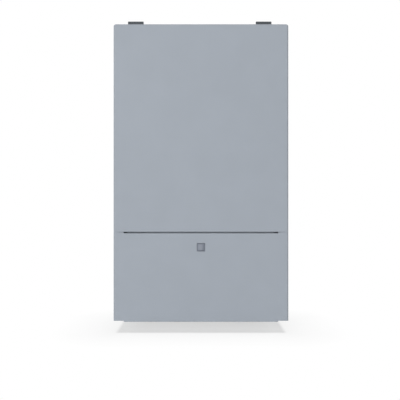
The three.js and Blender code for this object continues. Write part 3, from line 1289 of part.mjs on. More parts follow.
const flowRoute = [
  [drumX - spigot.spread, spigotY, spigotEndZ - fit.touch],
  [drumX - spigot.spread, spigotY, silencerZ[0] - 2 * hose.radius],
  [heatingFlowX, inletY, blockZ[1] + 2 * pipe.bend], [heatingFlowX, inletY, inletTopZ + fit.touch],
];
const returnRoute = [
  [drumX + spigot.spread, spigotY, spigotEndZ - fit.touch],
  [drumX + spigot.spread, spigotY, spigotEndZ - 2 * pipe.bend],
  [outletX, spigotY, valveZ[0]], [outletX, outletY, pumpOutletZ + 2 * pipe.bend],
  [outletX, outletY, pumpOutletZ + fit.touch],
];
const gasRoute = [
  [gasX, stubY, stubEndZ], [gasX, stubY, gasKneeZ - pipe.gasDrop],
  [drumX + spigot.spread, stubY, gasKneeZ - pipe.gasSlope], [portX, valveY[1], gasKneeZ],
  [portX, portY, gasKneeZ], [portX, portY, portZ - fit.touch],
];
const hoseRoute = [
  [spoutX, spoutY, spoutEndZ - fit.touch], [spoutX, spoutY, silencerZ[0] - hose.radius],
  [trapX, trapY, trapTopZ + trap.neckHigh + 2 * hose.bend],
  [trapX, trapY, trapTopZ + trap.neckHigh + fit.touch],
];

function gasPipe() {
  const line = bentRod(gasRoute, pipe.gasRadius, pipe.gasBend);
  const nut = rod("z", [gasX, stubY], stub.gasCollar, [trayTopZ, trayTopZ + stub.gasCollarHigh], sides.nut);
  const end = rod("z", [gasX, stubY], pipe.gasRadius, [stubEndZ, stubEndZ + stub.depth]);
  const bore = rod("z", [gasX, stubY], stub.gasBore, [stubEndZ - fit.overrun, stubEndZ + stub.depth / 2]);
  return cut(join(line, nut, end), bore);
}

// A flat pressure vessel of two pressings that meet in a rim, on a bracket from the rear plate
function expansionVessel() {
  const [left, right] = vesselX;
  const middle = (left + right) / 2;
  const outline = roundedRect(vesselY, vesselZ, vessel.corner);
  const settings = {
    depth: right - left - 2 * vessel.bend, bevelEnabled: true, bevelThickness: vessel.bend,
    bevelSize: vessel.bend, bevelOffset: -vessel.bend, bevelSegments: bendSteps, curveSegments: bendSteps,
  };
  const can = moved(new THREE.ExtrudeGeometry(outline, settings), (u, v, w) => [left + vessel.bend + w, u, v]);
  const grown = ([low, high], by) => [low - by, high + by];
  const rimOutline = roundedRect(
    grown(vesselY, vessel.rim), grown(vesselZ, vessel.rim), vessel.corner + vessel.rim);
  const rim = prism("x", rimOutline, [middle - vessel.rimThick / 2, middle + vessel.rimThick / 2]);
  const midZ = (vesselZ[0] + vesselZ[1]) / 2;
  const bracket = slab([middle - vessel.bracket / 2, middle + vessel.bracket / 2],
    [vesselY[1] - vessel.bend, wallPlateY], [midZ - vessel.bracketTall / 2, midZ + vessel.bracketTall / 2]);
  return join(can, rim, bracket);
}

function condensateTrap() {
  const flangeTopZ = trayTopZ + trap.flangeThick;
  return turned("z", [trapX, trapY], [
    [0, trapCupZ], [trap.cup - block.corner, trapCupZ], [trap.cup, trapCupZ + block.corner],
    [trap.cup, trayTopZ], [trap.flange, trayTopZ], [trap.flange, flangeTopZ], [trap.radius, flangeTopZ],
    [trap.radius, trapTopZ - block.corner], [trap.radius - block.corner, trapTopZ], [trap.neck, trapTopZ],
    [trap.neck, trapTopZ + trap.neckHigh], [0, trapTopZ + trap.neckHigh],
  ]);
}

piece(waterGroup, "bottom_tray", bottomTray(), finish.zincSteel);
piece(waterGroup, "diverter_block", diverterBlock(), finish.brass);
piece(waterGroup, "diverter_motor", diverterMotor(), finish.blackPlastic);
piece(waterGroup, "plate_exchanger", plateExchanger(), finish.stainless);
piece(waterGroup, "pump_body", pumpBody(), finish.brass);
piece(waterGroup, "pump_motor", pumpMotor(), finish.blackPlastic);
piece(waterGroup, "pump_wheel", pumpWheel(), finish.palePlastic, [wheelX, 0, wheelZ]);
piece(waterGroup, "relief_valve_knob", reliefKnob(), finish.redPlastic, [reliefX, 0, reliefZ]);
piece(waterGroup, "filling_tap_knob", fillingKnob(), finish.bluePlastic, [tapX, tapY, 0]);
piece(waterGroup, "heating_flow_pipe", bentRod(flowRoute, pipe.radius, pipe.bend), finish.copper);
piece(waterGroup, "heating_return_pipe", bentRod(returnRoute, pipe.radius, pipe.bend), finish.copper);
piece(waterGroup, "gas_pipe", gasPipe(), finish.copper);
piece(waterGroup, "condensate_hose", bentRod(hoseRoute, hose.radius, hose.bend), finish.greyPlastic);
piece(waterGroup, "expansion_vessel", expansionVessel(), finish.redPaint);
piece(waterGroup, "condensate_trap", condensateTrap(), finish.palePlastic);
export default boiler;
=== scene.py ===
"""A wall-hung gas boiler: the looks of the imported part.

+Z is up, the wall is the plane y = 0, the front faces -Y, and x = 0 is the middle. Blender's own values are
in metres. The shapes are drawn in millimetres, and mesh_object turns them into metres.
"""

import math
from itertools import product

import bmesh
import bpy
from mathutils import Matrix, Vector


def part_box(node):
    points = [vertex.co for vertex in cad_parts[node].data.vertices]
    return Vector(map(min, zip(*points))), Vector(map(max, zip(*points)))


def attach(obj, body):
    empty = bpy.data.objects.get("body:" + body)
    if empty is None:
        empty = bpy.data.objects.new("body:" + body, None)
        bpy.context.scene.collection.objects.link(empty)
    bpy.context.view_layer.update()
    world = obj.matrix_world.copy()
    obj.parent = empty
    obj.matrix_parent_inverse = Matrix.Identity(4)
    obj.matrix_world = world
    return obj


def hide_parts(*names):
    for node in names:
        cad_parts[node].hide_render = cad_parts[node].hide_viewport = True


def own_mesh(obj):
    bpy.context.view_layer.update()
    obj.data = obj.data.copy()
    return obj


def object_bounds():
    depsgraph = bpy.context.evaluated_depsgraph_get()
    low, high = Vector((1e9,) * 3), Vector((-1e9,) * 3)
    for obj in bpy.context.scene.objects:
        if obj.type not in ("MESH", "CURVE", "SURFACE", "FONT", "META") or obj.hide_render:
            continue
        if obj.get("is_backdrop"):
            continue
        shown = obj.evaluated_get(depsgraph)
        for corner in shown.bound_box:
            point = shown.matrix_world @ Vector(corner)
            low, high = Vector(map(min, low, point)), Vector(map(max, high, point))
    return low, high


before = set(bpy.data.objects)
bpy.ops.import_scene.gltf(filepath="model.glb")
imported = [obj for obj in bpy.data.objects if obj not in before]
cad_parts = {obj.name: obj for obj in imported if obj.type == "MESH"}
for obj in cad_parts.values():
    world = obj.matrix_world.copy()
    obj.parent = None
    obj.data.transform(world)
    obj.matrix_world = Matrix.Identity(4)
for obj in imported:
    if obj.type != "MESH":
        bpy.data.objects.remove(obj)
cad_low, cad_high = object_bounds()

MM = 0.001
TURN = 2 * math.pi

# Sheet metal, as in the part
SHEET = 1.2
BEND = 4
CORNER = 5.5
FOLD = 1.6

# Mesh quality: angles in degrees, WELD in metres
BEND_STEPS = 8
FOLD_STEPS = 5
SMOOTH_BELOW = 38
FLAT_BELOW = 0.3
WELD = 3e-6
ON_AXIS = 1e-7
TUBE_STEP = 0.01
TUBE_SIDES = 40
THIN_TUBE = 5
THIN_SIDES = 24


# Mesh helpers


def add_object(name, data):
    made = bpy.data.objects.new(name, data)
    bpy.context.scene.collection.objects.link(made)
    return made


def mesh_object(name, points, faces):
    """An object in metres, of points in millimetres."""
    mesh = bpy.data.meshes.new(name)
    mesh.from_pydata([[MM * value for value in point] for point in points], [], faces)
    mesh.validate()
    return add_object(name, mesh)


def bake(piece):
    """Applies every modifier of a piece to its mesh."""
    bpy.context.view_layer.update()
    graph = bpy.context.evaluated_depsgraph_get()
    baked = bpy.data.meshes.new_from_object(piece.evaluated_get(graph))
    piece.modifiers.clear()
    piece.data = baked
    return piece


def edited(piece, change):
    """Runs a change on a piece's mesh in edit form."""
    made = bmesh.new()
    made.from_mesh(piece.data)
    change(made)
    made.to_mesh(piece.data)
    made.free()
    return piece


def turn_out(made):
    bmesh.ops.recalc_face_normals(made, faces=made.faces)


def turn_front(made):
    """Turns a skin's faces outwards, judged by its biggest face."""
    turn_out(made)
    biggest = max(made.faces, key=lambda face: face.calc_area())
    if biggest.normal.y > 0:
        bmesh.ops.reverse_faces(made, faces=made.faces)


def clean_up(made):
    """Merges close points, drops slivers and joins flat faces after a boolean."""
    bmesh.ops.remove_doubles(made, verts=made.verts, dist=WELD)
    bmesh.ops.dissolve_degenerate(made, edges=made.edges, dist=WELD)
    bmesh.ops.dissolve_limit(made, angle_limit=math.radians(FLAT_BELOW), verts=made.verts, edges=made.edges)


def solid(name, *shapes):
    """One object of closed (points, faces) shapes, with its faces outwards."""
    points, faces = [], []
    for shape_points, shape_faces in shapes:
        start = len(points)
        points.extend(shape_points)
        faces.extend([[start + i for i in face] for face in shape_faces])
    return edited(mesh_object(name, points, faces), turn_out)


def combined(piece, tools, operation):
    """Cuts shapes or objects out of a piece, or joins them to it."""
    tools = [tool if isinstance(tool, bpy.types.Object) else solid("tool", tool) for tool in tools]
    for tool in tools:
        change = piece.modifiers.new("change", "BOOLEAN")
        change.operation = operation
        change.object = tool
        change.solver = "EXACT"
    bake(piece)
    for tool in tools:
        bpy.data.objects.remove(tool)
    return edited(piece, clean_up)


def pierced(piece, tools):
    return combined(piece, tools, "DIFFERENCE")


def fused(piece, tools):
    return combined(piece, tools, "UNION")


def sheet_metal(name, points, faces):
    """A skin with the thickness of sheet behind it."""
    skin = edited(mesh_object(name, points, faces), turn_front)
    sheet = skin.modifiers.new("sheet", "SOLIDIFY")
    sheet.thickness = SHEET * MM
    sheet.offset = -1
    sheet.use_even_offset = True
    return bake(skin)


def add_bevel(piece, width, segments, angle):
    bevel = piece.modifiers.new("round_edges", "BEVEL")
    bevel.width = width * MM
    bevel.segments = segments
    bevel.limit_method = "ANGLE"
    bevel.angle_limit = math.radians(angle)


def shade_smooth(piece):
    piece.data.polygons.foreach_set("use_smooth", [True] * len(piece.data.polygons))
    weighted = piece.modifiers.new("weighted_normals", "WEIGHTED_NORMAL")
    weighted.keep_sharp = True


def round_edges(piece, width, segments, angle):
    """Rounds the sharp edges; those that stay sharp keep a crisp line, and the rest shade smoothly."""
    if width:
        add_bevel(piece, width, segments, angle)
        bake(piece)
    shade_smooth(piece)
    piece.data.set_sharp_from_angle(angle=math.radians(SMOOTH_BELOW))


def dress(piece, look, node=None, body="chassis", slotted=True):
    """Gives a piece its material and its body, and hides the CAD node that it stands for; slotted is not
    used.
    """
    piece.data.materials.clear()
    piece.data.materials.append(LOOKS[look])
    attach(piece, body)
    if node:
        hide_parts(node)
    return piece


def finish(piece, look, node=None, edge=0.2, segments=2, angle=50, **rest):
    round_edges(piece, edge, segments, angle)
    return dress(piece, look, node, **rest)


def part(name, look, shapes, node=None, **rest):
    """A finished piece of closed shapes."""
    return finish(solid(name, *shapes), look, node, **rest)


def hardware(name, look, shapes, edge=0.15, **rest):
    """Small things that share one piece, with narrow edges."""
    return part(name, look, shapes, edge=edge, segments=1, **rest)


# Outlines and shapes; a shape is a pair of points and faces


def polar(centre, radius, degrees):
    angle = math.radians(degrees)
    return centre[0] + radius * math.cos(angle), centre[1] + radius * math.sin(angle)


def arc(centre, radius, start, end, steps=BEND_STEPS):
    return [polar(centre, radius, start + (end - start) * i / steps) for i in range(steps + 1)]


def circle(centre, radius, count, start=0):
    return [polar(centre, radius, start + 360 * i / count) for i in range(count)]


def band(centre, inner, outer, start, end, steps):
    """Outline of a stretch of a ring."""
    return arc(centre, outer, start, end, steps) + arc(centre, inner, end, start, steps)


def rounded_square(centre, half_u, half_v, radius, steps=6):
    """Outline of a rectangle with round corners."""
    outline = []
    for quarter, (sign_u, sign_v) in enumerate(((1, 1), (-1, 1), (-1, -1), (1, -1))):
        middle = (centre[0] + sign_u * (half_u - radius), centre[1] + sign_v * (half_v - radius))
        outline += arc(middle, radius, 90 * quarter, 90 * quarter + 90, steps)
    return outline


def quarter_bend(radius, steps):
    """(aside, ahead) pairs round a bend of 90 degrees that ends flush with a face."""
    angles = [TURN / 4 * i / steps for i in range(steps + 1)]
    return [(radius * (1 - math.cos(a)), radius * (1 - math.sin(a))) for a in angles]


def grooved(radius, floor, starts, slope, width):
    """Profile points with a groove down to a floor from each start, or a bead where the floor lies higher."""
    points = []
    for start in starts:
        points += [(radius, start), (floor, start + slope), (floor, start + slope + width),
                   (radius, start + 2 * slope + width)]
    return points


def at_height(axis, outline, height):
    """A flat outline as points at a height along an axis."""
    if axis == "X":
        return [(height, u, v) for u, v in outline]
    if axis == "Y":
        return [(u, height, v) for u, v in outline]
    return [(u, v, height) for u, v in outline]


def bridged(loops, closed=True):
    """Quads between every two neighbouring loops of the same length."""
    count = len(loops[0])
    faces = []
    for row in range(0, count * (len(loops) - 1), count):
        for i in range(count if closed else count - 1):
            j = (i + 1) % count
            faces.append([row + i, row + j, row + count + j, row + count + i])
    return faces


def lofted(loops):
    """A closed shape through loops, with both ends capped."""
    count = len(loops[0])
    points = [point for loop in loops for point in loop]
    return points, bridged(loops) + [list(range(count))[::-1], list(range(len(points) - count, len(points)))]


def extruded(axis, outline, low, high):
    return lofted([at_height(axis, outline, height) for height in (low, high)])


def slab(*spans):
    """A box from its three (low, high) spans."""
    (x0, x1), (y0, y1), (z0, z1) = [sorted(span) for span in spans]
    return extruded("Z", [(x0, y0), (x1, y0), (x1, y1), (x0, y1)], z0, z1)


def bar(axis, centre, half_u, half_v, radius, low, high, steps=6):
    """A box along an axis with four round edges."""
    return extruded(axis, rounded_square(centre, half_u, half_v, radius, steps), low, high)


def turned(axis, centre, profile, steps=64):
    """A closed profile of (radius, height) pairs, turned about an axis through its centre."""
    points, faces, rings = [], [], []
    for radius, height in profile:
        ring = [tuple(centre)] if radius < ON_AXIS else circle(centre, radius, steps)
        rings.append(list(range(len(points), len(points) + len(ring))))
        points += at_height(axis, ring, height)
    pairs = list(zip(rings, rings[1:]))
    if len(rings[0]) > 1:
        pairs.append((rings[-1], rings[0]))
    for near, far in pairs:
        for i in range(steps):
            j = (i + 1) % steps
            face = [near[i % len(near)], near[j % len(near)], far[j % len(far)], far[i % len(far)]]
            corners = list(dict.fromkeys(face))
            if len(corners) > 2:
                faces.append(corners)
    return points, faces


def rod(axis, centre, radius, low, high, steps=48):
    return turned(axis, centre, [(0, low), (radius, low), (radius, high), (0, high)], steps)


def shaped(centre, reach, steps):
    """A closed loop whose distance from its centre follows reach(angle)."""
    angles = [TURN * i / steps for i in range(steps)]
    return [(centre[0] + reach(a) * math.cos(a), centre[1] + reach(a) * math.sin(a)) for a in angles]


def fluted(centre, radius, depth, flutes=24, steps=144):
    """A circle with narrow flutes of a depth cut into it."""
    return shaped(centre, lambda a: radius - depth * (0.5 - 0.5 * math.cos(flutes * a)) ** 2, steps)


def lobed(centre, radius, lobes, dip=0.06, steps=96):
    """A circle that dips inwards between its lobes by twice a share of its radius."""
    return shaped(centre, lambda a: radius * (1 - dip * (1 - math.cos(lobes * a))), steps)


def screw_head(axis, centre, seat, sign, radius, high):
    """A pan head with a hexagonal socket, standing off its seat towards sign along the axis."""
    top, floor = seat + sign * high, seat + sign * high * 0.35
    socket, sides = radius * 0.45, 24
    outer = [(radius * 1.15, seat), (radius * 1.15, seat + sign * 0.3), (radius, seat + sign * 0.4),
             (radius * 0.97, seat + sign * high * 0.55), (radius * 0.82, seat + sign * high * 0.88),
             (radius * 0.6, top)]
    profile = [(0, seat)] + outer + [(socket, top), (socket, floor), (0, floor)]
    points, faces = turned(axis, centre, profile, sides)
    flat = TURN / 6
    hexagon = shaped(centre, lambda a: socket / math.cos((a + flat / 2) % flat - flat / 2), sides)
    points[-1 - 2 * sides:-1] = at_height(axis, hexagon, top) + at_height(axis, hexagon, floor)
    return points, faces


def screws(name, axis, places, seat, sign, radius, high, **rest):
    """Zinc-plated screws on one face."""
    heads = [screw_head(axis, place, seat, sign, radius, high) for place in places]
    hardware(name, "zinc_steel", heads, **rest)


def nut(axis, centre, across, low, high):
    """A hexagonal nut or collar whose corners are turned off."""
    edge, turned_off = (high - low) * 0.12, 0.93
    levels = ((low, turned_off), (low + edge, 1), (high - edge, 1), (high, turned_off))
    return lofted([at_height(axis, circle(centre, across * share, 6), height) for height, share in levels])


def ray(centre, angle, near, far, half, span):
    """A flat bar that runs outwards from a centre, at a height span along Y."""
    c, s = math.cos(math.radians(angle)), math.sin(math.radians(angle))
    corners = [(near, -half), (far, -half), (far, half), (near, half)]
    return extruded("Y", [(centre[0] + r * c - w * s, centre[1] + r * s + w * c) for r, w in corners], *span)


# Materials; sizes and depths of their textures are in millimetres


def add_node(tree, kind, values, **settings):
    """A new node; values gives inputs, by name or place, a number, a colour or another node's output."""
    made = tree.nodes.new("ShaderNode" + kind)
    for key, value in settings.items():
        setattr(made, key, value)
    for key, value in values.items():
        if isinstance(value, bpy.types.NodeSocket):
            tree.links.new(value, made.inputs[key])
        else:
            made.inputs[key].default_value = value
    return made


def shade(code, factor=1):
    """A six-figure sRGB colour code as linear RGBA, darker or lighter by a factor."""
    channels = [int(code[i:i + 2], 16) / 255 for i in (0, 2, 4)]
    values = [c / 12.92 if c <= 0.04045 else ((c + 0.055) / 1.055) ** 2.4 for c in channels]
    return [min(1, value * factor) for value in values] + [1]


class Look:
    """A principled material under construction, with textures in object coordinates."""

    def __init__(self, name, **values):
        self.material = bpy.data.materials.new(name)
        self.material.use_nodes = True
        self.tree = self.material.node_tree
        self.shader = self.tree.nodes["Principled BSDF"]
        self.place = self.add("TexCoord", {}).outputs["Object"]
        for key, value in values.items():
            self.shader.inputs[key.replace("_", " ")].default_value = value

    def add(self, kind, values, **settings):
        return add_node(self.tree, kind, values, **settings)

    def feed(self, output, name):
        self.tree.links.new(output, self.shader.inputs[name])

    def noise(self, size, detail=3, stretch=None):
        """Noise of a size, stretched along the axes when asked."""
        place = self.place
        if stretch:
            place = self.add("Mapping", {"Vector": place, "Scale": stretch}).outputs["Vector"]
        values = {"Vector": place, "Scale": 1 / (size * MM), "Detail": detail}
        return self.add("TexNoise", values).outputs["Fac"]

    def gloss(self, factor, low, high, start=0.35, end=0.65):
        """The roughness runs from low to high with a texture."""
        values = {"Value": factor, "From Min": start, "From Max": end, "To Min": low, "To Max": high}
        self.feed(self.add("MapRange", values).outputs["Result"], "Roughness")

    def colour(self, factor, low, high, start=0.35, end=0.65):
        """The base colour runs from low to high with a texture."""
        ramp = self.add("ValToRGB", {"Fac": factor})
        for stop, place, value in zip(ramp.color_ramp.elements, (start, end), (low, high)):
            stop.position = place
            stop.color = value
        self.feed(ramp.outputs["Color"], "Base Color")

    def bump(self, factor, depth, strength):
        relief = self.add("Bump", {"Height": factor, "Distance": depth * MM, "Strength": strength})
        self.feed(relief.outputs["Normal"], "Normal")


def powder_coat(name, code, spread=0.012):
    """Fine-textured powder paint: orange peel under a slight unevenness of colour."""
    look = Look(name, Metallic=0.0, Specular_IOR_Level=0.15)
    look.colour(look.noise(60, detail=4), shade(code, 1 - spread), shade(code, 1 + spread))
    look.bump(look.noise(1.1, detail=2), 0.03, 0.35)
    look.gloss(look.noise(9), 0.5, 0.58)
    return look.material


def moulded_plastic(name, code, roughness=0.45, spread=0.05):
    """Moulded plastic with a spark-eroded grain and a faint cloud in its gloss."""
    look = Look(name)
    cloud = look.noise(25)
    look.colour(cloud, shade(code, 1 - spread), shade(code, 1 + spread))
    look.bump(look.noise(0.5, detail=2), 0.02, 0.5)
    look.gloss(cloud, roughness - 0.05, roughness + 0.06)
    return look.material


def zinc_steel(name, code):
    """Galvanised sheet: spangled zinc crystals, each a little lighter or duller than the next."""
    look = Look(name, Metallic=0.9)
    cells = look.add("TexVoronoi", {"Vector": look.place, "Scale": 1 / (9 * MM), "Randomness": 1.0})
    split = look.add("SeparateColor", {"Color": cells.outputs["Color"]})
    look.colour(split.outputs["Red"], shade(code, 0.8), shade(code, 1.08), 0.0, 1.0)
    look.gloss(split.outputs["Green"], 0.3, 0.5, 0.0, 1.0)
    look.bump(look.noise(2), 0.02, 0.3)
    return look.material


def brushed_metal(name, code, roughness=0.28, along=(1, 60, 60)):
    """Rolled or drawn metal with fine lines along one direction."""
    look = Look(name, Metallic=1.0)
    lines = look.noise(30, detail=6, stretch=along)
    look.colour(lines, shade(code, 0.86), shade(code, 1.06))
    look.gloss(lines, roughness - 0.06, roughness + 0.12)
    look.bump(lines, 0.02, 0.25)
    return look.material


def cast_metal(name, code, roughness=0.5):
    """Die-cast metal: pitted grain under dull oxide clouds."""
    look = Look(name, Metallic=0.85)
    cloud = look.noise(18, detail=5)
    look.colour(cloud, shade(code, 0.78), shade(code, 1.08))
    look.bump(look.noise(0.8, detail=4), 0.12, 0.5)
    look.gloss(cloud, roughness - 0.08, roughness + 0.12)
    return look.material


def drawn_copper(name, code, tarnish_code):
    """Copper pipe with brown tarnish in clouds."""
    look = Look(name, Metallic=1.0)
    tarnish = look.noise(14, detail=6)
    look.colour(tarnish, shade(tarnish_code), shade(code), 0.3, 0.58)
    look.gloss(tarnish, 0.42, 0.22)
    look.bump(look.noise(1.5), 0.02, 0.3)
    return look.material


def rubber(name, code):
    look = Look(name, Roughness=0.85)
    look.colour(look.noise(6, detail=5), shade(code, 0.7), shade(code, 1.25))
    look.bump(look.noise(0.4), 0.05, 0.6)
    return look.material


def glazed(name, code, roughness, coat, depth):
    look = Look(name, Roughness=roughness, Coat_Weight=coat)
    look.colour(look.noise(5, detail=4), shade(code, 0.93), shade(code, 1.03))
    look.bump(look.noise(3), depth, 0.3)
    return look.material


def solder_mask(name, code, other_code, track_code):
    """Solder mask over copper tracks: fields of two greens between paler lines."""
    look = Look(name, Roughness=0.35)
    upright = look.add("Mapping", {"Vector": look.place, "Rotation": (TURN / 4, 0, 0)}).outputs["Vector"]
    tracks = look.add("TexBrick", {"Vector": upright, "Scale": 1 / (6 * MM), "Mortar Size": 0.03,
                                   "Color1": shade(code), "Color2": shade(other_code),
                                   "Mortar": shade(track_code)})
    look.feed(tracks.outputs["Color"], "Base Color")
    look.bump(tracks.outputs["Fac"], 0.03, 0.4)
    return look.material


def printed(name, code):
    look = Look(name, Roughness=0.6)
    look.colour(look.noise(4), shade(code, 0.9), shade(code, 1.1))
    return look.material


def lit_print(name, code):
    """Display figures that glow a little, unevenly."""
    look = Look(name, Roughness=0.5, Emission_Color=shade(code), Emission_Strength=0.35)
    look.colour(look.noise(2), shade(code, 0.85), shade(code))
    return look.material


LOOKS = {name: kind(name, *values) for name, kind, *values in (
    ("powder_coat", powder_coat, "a4abb4"),
    ("button_coat", moulded_plastic, "828893", 0.5, 0.015),
    ("dark_steel", powder_coat, "54585c", 0.03),
    ("zinc_steel", zinc_steel, "b6babd"),
    ("stainless", brushed_metal, "c4c6c8"),
    ("cast_aluminium", cast_metal, "a9acae"),
    ("copper", drawn_copper, "b87048", "7a452c"),
    ("brass", brushed_metal, "b99a55", 0.34, (20, 20, 20)),
    ("black_plastic", moulded_plastic, "1f2123", 0.48),
    ("grey_plastic", moulded_plastic, "55595e", 0.52),
    ("pale_plastic", moulded_plastic, "d8dadb", 0.45, 0.015),
    ("white_plastic", moulded_plastic, "ecece9", 0.35, 0.012),
    ("blue_plastic", moulded_plastic, "2f5f9e", 0.4),
    ("red_paint", powder_coat, "b3261e", 0.04),
    ("red_plastic", moulded_plastic, "c02a20", 0.38),
    ("rubber", rubber, "2a2a2b"),
    ("ceramic", glazed, "eee9dd", 0.28, 0.5, 0.03),
    ("circuit_green", solder_mask, "1f6b3f", "1a5c36", "2f8a55"),
    ("glass", glazed, "0c1014", 0.1, 0.0, 0.002),
    ("dark_print", printed, "33373c"),
    ("lit_print", lit_print, "bfe6ff"),
    ("red_print", printed, "b3261e"),
    ("insulation", rubber, "c9c4b4"),
)}


# Camera, backdrop, floor and lamps, in metres


# The photograph is taken straight on and level, its axis through the middle of the frame
CAMERA_DISTANCE = 2.4
CAMERA_PLACE = (-0.0023, cad_low[1] - CAMERA_DISTANCE, -0.3824)
FRAME_WIDTH = 0.937
SENSOR = 36

# World, floor and lamps: (name, place, edge, power), all aimed at the case's middle
AMBIENT = 0.13
FLOOR_GAP = 0.005
FLOOR_EDGE = 12
FLOOR_REACH = 0.25
# The floor's glow by share of FLOOR_REACH outside the case's footprint: low near the footprint, which paints
# a shadow there on top of the real one, and full far off. The inset and the side slope shape this painted
# shadow.
FLOOR_GLOW_AND_PAINTED_SHADOW = ((0.0, 0.595), (0.056, 0.855), (0.4, 0.92), (1.0, 1.0))
PAINTED_SHADOW_INSET = 0.012
PAINTED_SHADOW_SIDE_SLOPE = 1.6
AIM = Vector((0, -0.14, -0.3))
LAMPS = (
    ("key", (-2.2, -7.2, 0.8), 2.0, 342),
    ("overhead", (0.2, -0.9, 3.4), 2.4, 34),
    ("rear_left", (-3.4, 2.8, 1.0), 1.6, 55),
    ("rear_right", (3.4, 2.8, 1.0), 1.6, 55),
)


def add_camera():
    camera = add_object("camera", bpy.data.cameras.new("camera"))
    camera.data.sensor_fit = "HORIZONTAL"
    camera.data.sensor_width = SENSOR
    camera.data.lens = SENSOR * CAMERA_DISTANCE / FRAME_WIDTH
    camera.data.clip_end = 40
    camera.location = CAMERA_PLACE
    camera.rotation_euler = (TURN / 4, 0, 0)
    bpy.context.scene.camera = camera


def seen_directly(tree):
    """1 for rays that show a surface: those of the camera, of reflections and through glass."""
    rays = add_node(tree, "LightPath", {}).outputs
    seen = rays["Is Camera Ray"]
    for ray_kind in ("Is Glossy Ray", "Is Transmission Ray"):
        seen = add_node(tree, "Math", {0: seen, 1: rays[ray_kind]}, operation="MAXIMUM").outputs["Value"]
    return seen


def add_backdrop():
    """White for the eye and for reflections, softer as a light."""
    world = bpy.data.worlds.new("studio")
    world.use_nodes = True
    bpy.context.scene.world = world
    tree = world.node_tree
    background = tree.nodes["Background"]
    background.inputs["Color"].default_value = (1, 1, 1, 1)
    level = add_node(tree, "MapRange", {"Value": seen_directly(tree), "To Min": AMBIENT, "To Max": 1.0})
    tree.links.new(level.outputs["Result"], background.inputs["Strength"])


def floor_glow(tree, place, level):
    """The glow at a spot, which grows with its distance outside the case's footprint, so that the low glow
    near the case paints a shadow round it.
    """
    middle = [(low + high) / 2 for low, high in zip(cad_low, cad_high)]
    reach = [(high - low) / 2 for low, high in zip(cad_low, cad_high)]
    for operation, value in (
            ("SUBTRACT", (middle[0], middle[1], level)),
            ("ABSOLUTE", (0, 0, 0)),
            ("SUBTRACT", (reach[0] - PAINTED_SHADOW_INSET, reach[1], 0)),
            ("MAXIMUM", (0, 0, 0)),
            ("MULTIPLY", (PAINTED_SHADOW_SIDE_SLOPE, 1, 1))):
        place = add_node(tree, "VectorMath", {0: place, 1: value}, operation=operation).outputs["Vector"]
    apart = add_node(tree, "VectorMath", {0: place}, operation="LENGTH").outputs["Value"]
    share = add_node(tree, "Math", {0: apart, 1: FLOOR_REACH}, operation="DIVIDE").outputs["Value"]
    ramp = add_node(tree, "ValToRGB", {"Fac": share})
    stops = ramp.color_ramp.elements
    for at, value in FLOOR_GLOW_AND_PAINTED_SHADOW[1:-1]:
        stops.new(at)
    for stop, (at, value) in zip(stops, FLOOR_GLOW_AND_PAINTED_SHADOW):
        stop.position = at
        stop.color = (value, value, value, 1)
    return ramp.outputs["Color"]


def add_floor():
    """A white floor that shows the real shadow under the case, deepened by a painted shadow round its
    footprint, and that is clear from beneath.
    """
    level = cad_low[2] - FLOOR_GAP
    half = FLOOR_EDGE / 2 / MM
    corners = [(x, y, level / MM) for x, y in ((-half, -half), (half, -half), (half, half), (-half, half))]
    floor = mesh_object("floor", corners, [(0, 1, 2, 3)])
    look = bpy.data.materials.new("floor")
    look.use_nodes = True
    tree = look.node_tree
    tree.nodes.clear()
    geometry = add_node(tree, "NewGeometry", {}).outputs
    paper = add_node(tree, "BsdfDiffuse", {"Color": (0.9, 0.9, 0.9, 1)}).outputs["BSDF"]
    glow = add_node(tree, "Emission", {}).outputs["Emission"]
    clear = add_node(tree, "BsdfTransparent", {}).outputs["BSDF"]
    # The glow, low near the case as a painted shadow, counts only for rays that show the floor.
    values = {0: seen_directly(tree), 1: floor_glow(tree, geometry["Position"], level)}
    share = add_node(tree, "Math", values, operation="MULTIPLY").outputs["Value"]
    upper = add_node(tree, "MixShader", {"Fac": share, 1: paper, 2: glow}).outputs["Shader"]
    both = add_node(tree, "MixShader", {"Fac": geometry["Backfacing"], 1: upper, 2: clear}).outputs["Shader"]
    add_node(tree, "OutputMaterial", {"Surface": both})
    floor.data.materials.append(look)
    floor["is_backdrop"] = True


def add_lamp(name, place, edge, power):
    """A soft square panel of light, turned towards the aim."""
    lamp = add_object(name, bpy.data.lights.new(name, "AREA"))
    lamp.data.shape = "RECTANGLE"
    lamp.data.size = edge
    lamp.data.size_y = edge
    lamp.data.energy = power
    lamp.location = place
    lamp.rotation_euler = (AIM - Vector(place)).to_track_quat("-Z", "Y").to_euler()


bpy.context.scene.view_settings.view_transform = "Standard"
add_camera()
add_backdrop()
add_floor()
for lamp_settings in LAMPS:
    add_lamp(*lamp_settings)


# Casing

HALF_WIDTH = 205
INNER_X = HALF_WIDTH - SHEET
ROOF_X = 199.2
TOP_Z = 30
UNDER_Z = TOP_Z - SHEET
CORNER_Z = TOP_Z - CORNER - 0.3
FRONT_Y = -280
RETURN_Y = -258
SIDE_FRONT_Y = -257.4
SIDE_FLANGE = (SIDE_FRONT_Y, SIDE_FRONT_Y + SHEET)
SEAM_Z = -457.3
SLOT_X = 181
FLAP_TOP_Z = SEAM_Z - 3
EAR_TOP_Z = SEAM_Z - 0.6
LIP_Z = -668
EAR_BOTTOM_Z = LIP_Z + 2.4
LATCH = (0, -493.3)
HINGE = (-274, -662)
STUD_X = 194
STUD_ZS = (-10, -440)
SIDE_SCREW_ZS = (-6, -206, -420, -640)
HANGER_XS = {"left": -170, "right": 164}
FLUE = (0, -90)


